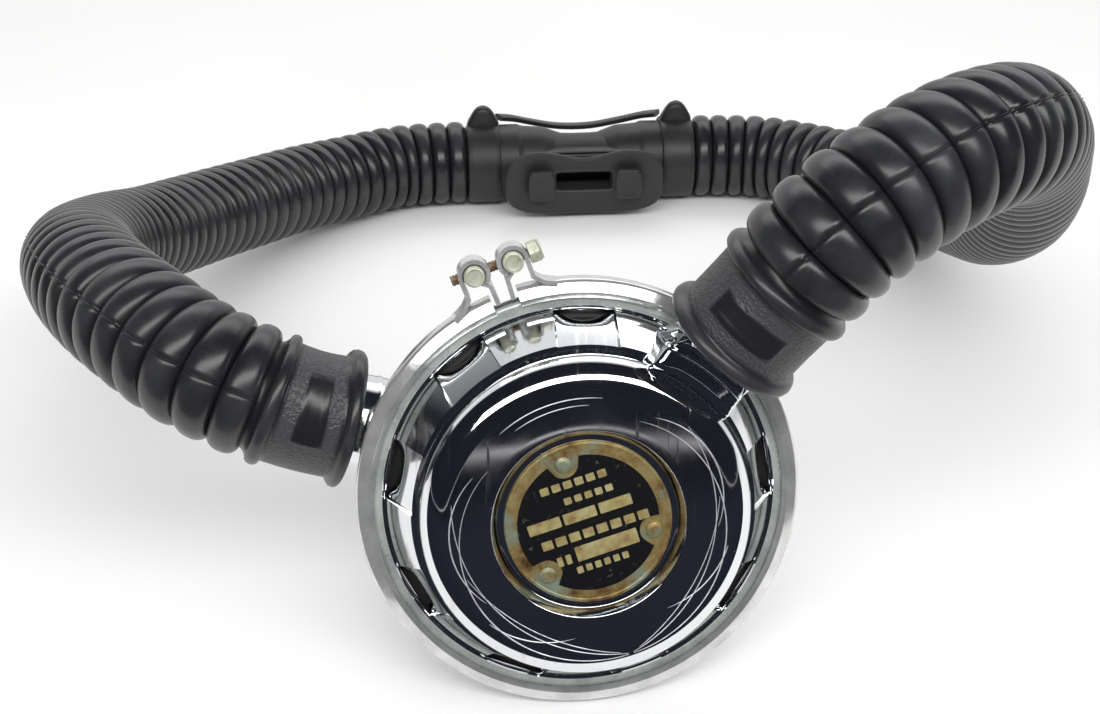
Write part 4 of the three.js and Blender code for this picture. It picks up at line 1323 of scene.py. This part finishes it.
def make_floor():
    """A pale floor, and in front of the set a dark one that only reflections see"""
    bpy.ops.mesh.primitive_plane_add(size=8)
    floor = bpy.context.object
    floor.name = "floor"
    f = Finish("pale_floor", Roughness=0.7, Specular_IOR_Level=0.2)
    f.set("Base Color", f.ramp(f.noise(3, 3), (0.3, (0.86, 0.86, 0.86)), (0.7, (0.9, 0.9, 0.9))))
    floor.data.materials.append(f.material)
    mesh = bpy.data.meshes.new("dark_room_floor")
    corners = ((-1, -DARK_FLOOR_HALF), (1, -DARK_FLOOR_HALF), (1, DARK_FLOOR_EDGE),
               (-1, DARK_FLOOR_EDGE))
    mesh.from_pydata([(side * DARK_FLOOR_HALF, y, DARK_FLOOR_LIFT) for side, y in corners], [],
                     [(0, 1, 2, 3)])
    mat = bpy.data.objects.new("dark_room_floor", mesh)
    SCENE.collection.objects.link(mat)
    mat.visible_camera = False
    mat.visible_diffuse = False
    mat.visible_shadow = False
    mat.visible_transmission = False
    dark = Finish("dark_room", Roughness=1.0, Specular_IOR_Level=0.0)
    dark.set("Base Color", DARK_ROOM)
    mesh.materials.append(dark.material)


# ---------- everything together ----------

CHROME_WALL = chrome("chrome_wall", smooth=0.05, pits=0.6)
CHROME_CUP = chrome("chrome_cup", smooth=0.03)
CHROME_BAND = worn_chrome("chrome_band", 0.72, 0.09)
WORN_LOOPS = worn_chrome("worn_loops", 0.65, 0.2)
CHROME_REAR = chrome("chrome_rear", smooth=0.07, pits=0.5)
SATIN = mottled("satin_flange", 0.35, (70, 6, 0.65),
                [(0.3, (0.26, 0.29, 0.28)), (0.7, (0.52, 0.56, 0.53))], (0.22, 0.42),
                [((1500, 2), 0.01), ((300, 4), 0.02)], (150, 4))
BRIGHT_CUT = mottled("bright_cut", 0.7, (400, 3),
                     [(0.3, (0.55, 0.57, 0.60)), (0.7, (0.9, 0.9, 0.92))], 0.5,
                     [((1500, 2), 0.01)])
BRASS_AGED = aged_brass("aged_brass")
BRASS = mottled("clean_brass", 1.0, (80, 5),
                [(0.3, (0.40, 0.27, 0.10)), (0.7, (0.62, 0.46, 0.2))], (0.25, 0.42),
                [((900, 3), 0.01)], (200, 4))
ENAMEL = black_enamel("black_enamel")
GILT = mottled("aged_gilt", 0.55, (260, 6, 0.7),
               [(0.3, (0.30, 0.16, 0.07)), (0.5, (0.47, 0.40, 0.17)), (0.7, (0.60, 0.56, 0.33))],
               0.45, [((900, 4), 0.03)])
ZINC = mottled("dull_zinc", 0.55, (350, 6, 0.7),
               [(0.3, (0.30, 0.29, 0.20)), (0.45, (0.52, 0.53, 0.42)), (0.7, (0.70, 0.72, 0.62))],
               (0.55, 0.38), [((800, 4), 0.05)])
RUST = mottled("rusty_steel", 0.6, (500, 6, 0.7),
               [(0.35, (0.12, 0.055, 0.03)), (0.55, (0.30, 0.20, 0.13)),
                (0.75, (0.50, 0.46, 0.38))], (0.8, 0.45), [((500, 6, 0.7), 0.08)])
STEEL = mottled("plain_steel", 1.0, (120, 4),
                [(0.3, (0.42, 0.42, 0.42)), (0.7, (0.58, 0.58, 0.57))], (0.2, 0.36),
                [((1200, 3), 0.008)], (400, 4))
RUBBER_HOSE = hose_rubber("hose_rubber")
RUBBER_HARD = moulded_rubber("hard_rubber")
RUBBER_SOFT = moulded_rubber("soft_rubber", tone=0.012, roughness=0.45)

SLOT_MATERIALS = {
    "chrome": CHROME_REAR, "brass": BRASS, "steel": STEEL, "zinc": ZINC, "enamel": ENAMEL,
    "hose_rubber": RUBBER_HOSE, "hard_rubber": RUBBER_HARD, "soft_rubber": RUBBER_SOFT,
}


def dress_cad_nodes():
    """Every CAD node gets its slot's node material; most are hidden behind a finer piece"""
    for entry in frame["record"]["subparts"]:
        mesh = frame["nodes"][entry["node"]].data
        mesh.materials.clear()
        mesh.materials.append(SLOT_MATERIALS[entry["material_slot"]])


make_camera()
hose("intake_hose_rubber", INTAKE_ROUTE, "intake_hose", seam_angle=0.4, label_angle=0.54)
hose("exhaust_hose_rubber", EXHAUST_ROUTE, "exhaust_hose", seam_angle=2.72, label_angle=2.84)
dress_cad_nodes()
make_front_cover()
make_exhaust_box()
make_name_plate()
make_rivets()
make_clamp_band()
make_clamp_nuts()
make_clamp_bolt()
make_engraving()
make_exhaust_horn()
make_intake_horn()
make_rear_box()
make_diaphragm()
make_first_stage()
make_yoke_retainer()
make_yoke()
make_yoke_screw()
make_screw_pad()
make_knob()
make_mouth_tube()
make_bite_piece()
make_bite_band()
make_strap_rings()
make_neck_strap()
make_floor()
make_world()
area_light("softbox", (0.12, -1.0, 1.05), (0, -0.1, 0.1), 2.2, 0.42, 19)
area_light("back_light", (0, 1.1, 1.3), (0, 0.6, 0), 2.4, 0.8, 8)

SCENE.view_settings.view_transform = "Standard"
